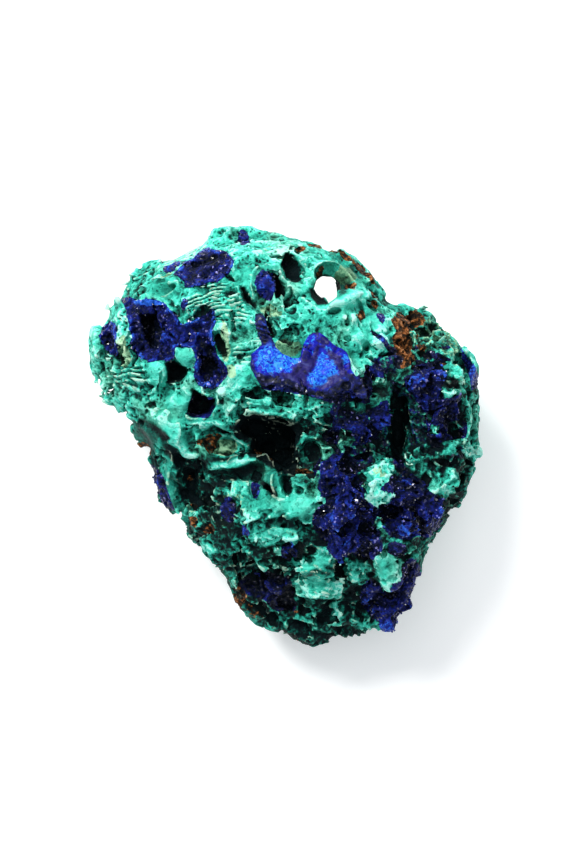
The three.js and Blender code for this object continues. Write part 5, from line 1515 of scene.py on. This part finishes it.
class Tree:
    """Adds nodes to a tree, each from a type, its properties and what goes into its sockets."""

    def __init__(self, tree):
        self.tree = tree

    def node(self, kind, into=None, **properties):
        made = self.tree.nodes.new(kind)
        for key, value in properties.items():
            setattr(made, key, value)
        for socket, value in (into or {}).items():
            if isinstance(value, bpy.types.NodeSocket):
                self.tree.links.new(value, made.inputs[socket])
            else:
                made.inputs[socket].default_value = value
        return made

    def math(self, operation, *values):
        return self.node("ShaderNodeMath", dict(enumerate(values)), operation=operation).outputs[0]

    def plus(self, first, second):
        return self.math("ADD", first, second)

    def minus(self, first, second):
        return self.math("SUBTRACT", first, second)

    def times(self, first, second):
        return self.math("MULTIPLY", first, second)

    def vector(self, operation, *values):
        return self.node("ShaderNodeVectorMath", dict(enumerate(values)), operation=operation).outputs[0]

    def mix(self, share, first, second):
        into = {"Factor": share, 6: first, 7: second}
        return self.node("ShaderNodeMix", into, data_type="RGBA").outputs[2]

    def ramp(self, value, stops, smooth=True):
        made = self.node("ShaderNodeValToRGB", {0: value})
        band = made.color_ramp
        band.interpolation = "EASE" if smooth else "LINEAR"
        while len(band.elements) < len(stops):
            band.elements.new(0.5)
        for element, (spot, colour) in zip(band.elements, stops):
            element.position = spot
            element.color = colour if len(colour) == 4 else (*colour, 1)
        return made.outputs["Color"]

    def spread(self, value, start, end, low=0.0, high=1.0):
        """Stretches one range of a value over another, and holds it there."""
        into = {0: value, 1: start, 2: end, 3: low, 4: high}
        return self.node("ShaderNodeMapRange", into, clamp=True).outputs[0]

    def scaled(self, vector, size):
        return self.node("ShaderNodeVectorMath", {0: vector, "Scale": size}, operation="SCALE").outputs[0]

    def feed(self, shader, socket, value):
        self.tree.links.new(value, shader.inputs[socket])

    def mark(self, name):
        return self.node("ShaderNodeAttribute", attribute_name=name).outputs["Fac"]

    def millimetres(self):
        coordinates = self.node("ShaderNodeTexCoord").outputs["Object"]
        return self.node("ShaderNodeMapping", {0: coordinates, "Scale": (1 / MM,) * 3}).outputs[0]

    def noise(self, place_socket, scale, detail=4.0, rough=0.6, distortion=0.0):
        into = {"Vector": place_socket, "Scale": scale, "Detail": detail, "Roughness": rough,
                "Distortion": distortion}
        return self.node("ShaderNodeTexNoise", into).outputs["Fac"]


def new_group(name, inputs, outputs):
    """A node group with named sockets, and its tree."""
    group = bpy.data.node_groups.new(name, "ShaderNodeTree")
    for label, kind, start in inputs:
        socket = group.interface.new_socket(label, in_out="INPUT", socket_type=kind)
        if start is not None:
            socket.default_value = start
    for label, kind in outputs:
        group.interface.new_socket(label, in_out="OUTPUT", socket_type=kind)
    return group, Tree(group)


skin_group, t = new_group(
    "weathered_skin",
    [("Place", "NodeSocketVector", None), ("Size", "NodeSocketFloat", 1.0)],
    [("Mottle", "NodeSocketFloat"), ("Crests", "NodeSocketFloat"), ("Pores", "NodeSocketFloat"),
     ("Height", "NodeSocketFloat")],
)
source = t.node("NodeGroupInput")
spot = t.scaled(source.outputs["Place"], source.outputs["Size"])
drift = t.node("ShaderNodeTexNoise", {"Vector": spot, "Scale": 2.6, "Detail": 3.0}).outputs["Color"]
drift = t.vector("SUBTRACT", drift, (0.5, 0.5, 0.5))
spot_bent = t.vector("ADD", spot, t.scaled(drift, 0.35))
crests = t.node(
    "ShaderNodeTexNoise",
    {"Vector": spot_bent, "Scale": 4.2, "Detail": 4.0, "Roughness": 0.62, "Lacunarity": 2.1, "Offset": 1.0,
     "Gain": 1.6},
    noise_type="RIDGED_MULTIFRACTAL", normalize=False,
).outputs["Fac"]
crests = t.spread(crests, 0.5, 2.6)
mottle = t.noise(spot_bent, 1.3, 6.0, 0.62, 0.3)
holes = t.node("ShaderNodeTexVoronoi", {"Vector": spot_bent, "Scale": 5.5, "Randomness": 1.0})
seldom = t.node("ShaderNodeSeparateColor", {0: holes.outputs["Color"]}).outputs[0]
reach = t.spread(seldom, 0.4, 1.0, 0.0, 0.5)
pores = t.minus(1.0, t.math("DIVIDE", holes.outputs["Distance"], t.math("MAXIMUM", reach, 0.001)))
pores = t.spread(pores, 0.0, 0.45)
grit = t.noise(spot, 13.0, 3.0, 0.75)
height = t.minus(t.plus(crests, t.times(grit, 0.7)), t.times(pores, 1.3))
mottle = t.plus(mottle, t.times(t.minus(grit, 0.5), 0.55))
t.node("NodeGroupOutput", {"Mottle": mottle, "Crests": crests, "Pores": pores, "Height": height})

facet_group, t = new_group(
    "crystal_facets",
    [("Place", "NodeSocketVector", None), ("Scale", "NodeSocketFloat", 7.0),
     ("Tilt", "NodeSocketFloat", 0.9)],
    [("Normal", "NodeSocketVector"), ("Shade", "NodeSocketFloat"), ("Glint", "NodeSocketFloat")],
)
source = t.node("NodeGroupInput")
cells = t.node("ShaderNodeTexVoronoi", {
    "Vector": source.outputs["Place"], "Scale": source.outputs["Scale"],
})
aim = t.vector("SUBTRACT", cells.outputs["Color"], (0.5, 0.5, 0.5))
own = t.node("ShaderNodeNewGeometry").outputs["Normal"]
aim = t.vector("ADD", own, t.scaled(aim, source.outputs["Tilt"]))
aim = t.vector("NORMALIZE", aim)
draws = t.node("ShaderNodeSeparateColor", {0: cells.outputs["Color"]})
glint = t.spread(draws.outputs[1], 0.94, 0.98)
t.node("NodeGroupOutput", {"Normal": aim, "Shade": draws.outputs[0], "Glint": glint})


def new_material(name, **sockets):
    """A material with its constant values set, its tree and its shader."""
    material = bpy.data.materials.new(name)
    material.use_nodes = True
    tree = Tree(material.node_tree)
    shader = material.node_tree.nodes["Principled BSDF"]
    for key, value in sockets.items():
        shader.inputs[key.replace("_", " ")].default_value = value
    return material, tree, shader


def ragged_edge(t, spot, value, start=0.46, end=0.55, low=0.0, high=1.0):
    """A painted mark with a ragged edge, fairly hard unless its start and end lie far apart."""
    ragged = t.minus(t.noise(spot, 4.0, 5.0, 0.7), 0.5)
    return t.spread(t.plus(value, ragged), start, end, low, high)


def use_group(t, group, **into):
    """Places a group in a tree and gives its outputs."""
    return t.node("ShaderNodeGroup", into, node_tree=group).outputs


print("groups:", [g.name for g in bpy.data.node_groups])

# %% [markdown]
# Azurite is so deeply coloured that a crust of it looks like velvet: violet blue on the crystals that face
# the light, near black between them, and a pale glint where one face mirrors a lamp. The glint is a thin
# clear coat on a few crystals only, because a shine over all of them would turn the blue grey, and a few
# crystals also get a painted lilac glint in their colour. Crystals on edges come out a clearer blue, which
# is painted highlight, and the blue in hollows is darkened as painted shade.

# %% Azurite
def azurite_colour(t, spot, facets):
    """Deep blue, painted clearer on the crests and near black in the hollows, with a painted lilac glint."""
    amount = t.plus(t.times(facets["Shade"], 0.4), t.times(t.noise(spot, 2.4), 0.45))
    # painted highlight on crests, rims and clear edges, painted shade in hollows
    for name, share in (("crest", 0.1), ("ridge", 0.16), ("broad", 0.22), ("deep", 0.18), ("cyan", 0.45)):
        amount = t.plus(amount, t.times(t.mark(name), share))
    # painted shade darkens the blue towards black
    amount = t.minus(amount, t.times(t.mark("painted_shade"), 0.34))
    blue = t.ramp(amount, [
        (0.06, linear(6, 11, 20)), (0.3, linear(9, 15, 42)), (0.52, linear(15, 22, 76)),
        (0.74, linear(25, 36, 122)), (1.0, linear(40, 92, 196)),
    ], smooth=False)
    # painted glint: a lilac colour on a few crystal cells, fewer in painted shade
    painted_glint_share = t.spread(t.noise(spot, 1.1, 2.0), 0.46, 0.66, 0.05, 0.8)
    painted_glint_share = t.times(painted_glint_share, t.spread(t.mark("painted_shade"), 0.6, 1.1, 1.0, 0.0))
    return t.mix(t.times(facets["Glint"], painted_glint_share), blue, linear(140, 138, 214))


CRYSTALS_PER_MM = 12.0
azurite, t, shader = new_material(
    "azurite_crust", IOR=1.73, Specular_IOR_Level=0.02, Roughness=0.4, Coat_Roughness=0.12
)
spot = t.millimetres()
facets = use_group(t, facet_group, Place=spot, Scale=CRYSTALS_PER_MM, Tilt=1.1)
t.feed(shader, "Base Color", azurite_colour(t, spot, facets))
t.feed(shader, "Coat Weight", facets["Glint"])
t.feed(shader, "Normal", facets["Normal"])

# The set crystals have real faces, so their material needs only a value for each crystal.
# A few of them get a painted lilac glint.
prism, t, shader = new_material("azurite_prism", IOR=1.76, Specular_IOR_Level=0.5, Roughness=0.16)
spot = t.millimetres()
prism_painted_glint = t.spread(t.mark("shade"), 0.93, 0.97)
t.feed(shader, "Base Color", azurite_colour(t, spot, {"Shade": t.mark("shade"), "Glint": prism_painted_glint}))

# %% [markdown]
# The malachite is one material, although it looks like many. Its green runs from green black in the pits,
# which is painted shade, to pale turquoise on the crests, which is painted highlight, and the tone is added
# up from the painted patches, how far the surface stands out, and the skin's own mottle, crests and pores,
# so that pores are painted dark and crests pale as well. Azurite, iron rust and olive clay are laid over it
# where they are painted, each with a ragged edge that the noise cuts.

# %% Malachite
RELIEF = 0.045  # millimetres
# how much each relief mark adds: painted shade in hollows, painted highlight on crests
RELIEF_SHADING_SHARES = (("crest", 0.2), ("ridge", 0.26), ("broad", 0.26), ("deep", 0.2))
malachite, t, shader = new_material(
    "malachite_skin", IOR=1.66, Specular_IOR_Level=0.05, Coat_Roughness=0.12
)
spot = t.millimetres()
skin = use_group(t, skin_group, Place=spot, Size=1.0)
rough_share = t.minus(1.0, t.times(t.mark("calm"), 0.65))
tone = t.plus(t.mark("tone"), t.times(t.minus(skin["Mottle"], 0.5), 0.95))
# painted shade in the hollows and painted highlight on the crests, from how far the surface stands out
standing = 0.0
for name, share in RELIEF_SHADING_SHARES:
    standing = t.plus(standing, t.times(t.mark(name), share))
tone = t.plus(tone, t.times(standing, rough_share))
# painted shade in the skin's pores and painted highlight on its crests
fine = t.minus(t.times(t.minus(skin["Crests"], 0.42), 0.6), t.times(skin["Pores"], 0.6))
tone = t.plus(tone, t.times(fine, rough_share))
streak_place = {0: t.mark("across"), 1: t.noise(spot, 0.7, 2.0), 2: 0.0}
streak_place = t.node("ShaderNodeCombineXYZ", streak_place).outputs[0]
streak_place = t.node("ShaderNodeMapping", {0: streak_place, "Scale": (4.6, 2.4, 1.0)}).outputs[0]
streaks = t.minus(t.noise(streak_place, 1.0, 3.0, 0.7), 0.52)
tone = t.plus(tone, t.times(t.times(streaks, t.mark("fibrous")), 1.15))
tone = t.times(tone, 0.78)
green = t.ramp(tone, [
    (0.0, linear(4, 19, 22)), (0.14, linear(8, 42, 40)), (0.3, linear(15, 88, 76)),
    (0.48, linear(34, 142, 124)), (0.66, linear(56, 188, 164)), (0.85, linear(84, 214, 192)),
    (1.0, linear(158, 234, 218)),
], smooth=False)
olive = t.ramp(tone, [
    (0.07, linear(12, 24, 14)), (0.37, linear(66, 92, 58)), (0.8, linear(176, 190, 136)),
])
# rust a little lighter on crests, a small painted highlight
iron = t.plus(t.noise(spot, 4.4, 6.0, 0.75, 0.4), t.times(t.mark("crest"), 0.05))
iron = t.plus(iron, t.spread(t.mark("rust"), 1.0, 1.5, 0.0, 0.1))
rust = t.ramp(iron, [
    (0.42, linear(8, 10, 9)), (0.52, linear(48, 34, 20)), (0.6, linear(142, 84, 42)),
    (0.74, linear(214, 160, 112)),
])
mint = t.ramp(tone, [
    (0.0, linear(4, 16, 12)), (0.3, linear(34, 86, 62)), (0.48, linear(78, 142, 114)),
    (0.66, linear(122, 186, 160)), (1.0, linear(196, 232, 214)),
], smooth=False)
green = t.mix(t.spread(t.noise(spot, 0.55, 2.0), 0.5, 0.7, 0.0, 0.45), green, mint)
# painted highlight: pale cream on the sharpest crests
painted_edge_highlight = ragged_edge(t, spot, t.mark("crest"), 0.85, 1.4, 0.0, 0.5)
green = t.mix(painted_edge_highlight, green, linear(192, 212, 186))
colour = t.mix(t.times(ragged_edge(t, spot, t.mark("olive")), 0.6), green, olive)
colour = t.mix(ragged_edge(t, spot, t.mark("rust")), colour, rust)
facets = use_group(t, facet_group, Place=spot, Scale=CRYSTALS_PER_MM, Tilt=1.1)
blue_share = ragged_edge(t, spot, t.mark("azure"))
t.feed(shader, "Base Color", t.mix(blue_share, colour, azurite_colour(t, spot, facets)))
relief = {"Height": skin["Height"], "Distance": RELIEF * MM, "Strength": 0.9}
relief = t.node("ShaderNodeBump", relief).outputs[0]
normal = {"Factor": blue_share, 4: relief, 5: facets["Normal"]}
normal = t.node("ShaderNodeMix", normal, data_type="VECTOR")
t.feed(shader, "Normal", normal.outputs[1])
t.feed(shader, "Roughness", t.spread(blue_share, 0.0, 1.0, 0.58, 0.36))
t.feed(shader, "Coat Weight", t.times(facets["Glint"], blue_share))

# %% [markdown]
# The one bright mass is azurite without the velvet: cloudy patches of clear cyan blue in a duller violet
# band, with a dark crystal edge below that is darkened further as painted shade. The clouds are noise, and
# painted marks say where the band and the edge run.

# %% The bright mass
mass, t, shader = new_material(
    "azurite_mass", IOR=1.7, Specular_IOR_Level=0.1, Roughness=0.45, Coat_Roughness=0.15
)
spot = t.millimetres()
facets = use_group(t, facet_group, Place=spot, Scale=10.0, Tilt=0.5)
clouds = t.plus(t.times(t.noise(spot, 2.3, 4.0, 0.55, 0.8), 0.9), t.times(facets["Shade"], 0.1))
clear = t.times(t.minus(clouds, 0.5), 2.4)
clear = t.plus(t.plus(t.times(t.mark("cyan"), 0.56), 0.1), clear)
lobes = t.ramp(clear, [
    (0.0, linear(8, 8, 78)), (0.2, linear(10, 14, 142)), (0.42, linear(12, 30, 172)),
    (0.54, linear(40, 140, 220)), (0.64, linear(24, 100, 210)), (0.76, linear(10, 30, 176)),
    (0.88, linear(20, 84, 210)), (1.0, linear(60, 160, 226)),
], smooth=False)
band = t.ramp(clouds, [(0.34, linear(10, 8, 52)), (0.5, linear(32, 28, 96)), (0.66, linear(58, 62, 122))])
band_share = t.minus(t.mark("band"), t.mark("cyan"))
colour = t.mix(ragged_edge(t, spot, band_share, 0.3, 0.6), lobes, band)
# the crystal edge takes the azurite colour, with its painted shade and highlight
crystal_edge = ragged_edge(t, spot, t.mark("azure"), 0.35, 0.65)
colour = t.mix(crystal_edge, colour, azurite_colour(t, spot, facets))
t.feed(shader, "Base Color", colour)
t.feed(shader, "Coat Weight", t.times(facets["Glint"], 0.5))
t.feed(shader, "Normal", facets["Normal"])
print("materials:", [m.name for m in (azurite, prism, malachite, mass)])

# %% [markdown]
# Every piece rides on the one body and takes its finish.

# %% Dress the pieces
CREASE = 62  # degrees, under which an edge is shaded round
CRYSTAL_CREASE = 5
PAPER = {"Base Color": (0.9, 0.9, 0.9, 1), "Roughness": 0.8, "Emission Color": (1, 1, 1, 1),
         "Emission Strength": 0.25}
for piece in rocks.values():
    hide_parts("malachite_body")

for piece, material, slot in (
    [(piece, malachite, "malachite") for piece in rocks.values()]
    + [(g, mass if "mass" in n else azurite, "azurite") for n, g in growths.items()]
    + [(crystals, prism, "azurite")]
):
    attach(piece, "root")
    piece.data.materials.append(material)
    select_only(piece)
    crease = CRYSTAL_CREASE if piece is crystals else CREASE
    bpy.ops.object.shade_smooth_by_angle(angle=math.radians(crease))

paper = bpy.data.materials.new("pale_paper")
paper.use_nodes = True
for key, value in PAPER.items():
    paper.node_tree.nodes["Principled BSDF"].inputs[key].default_value = value
floor.data.materials.append(paper)
print("pieces dressed:", len(rocks) + len(growths) + 1)
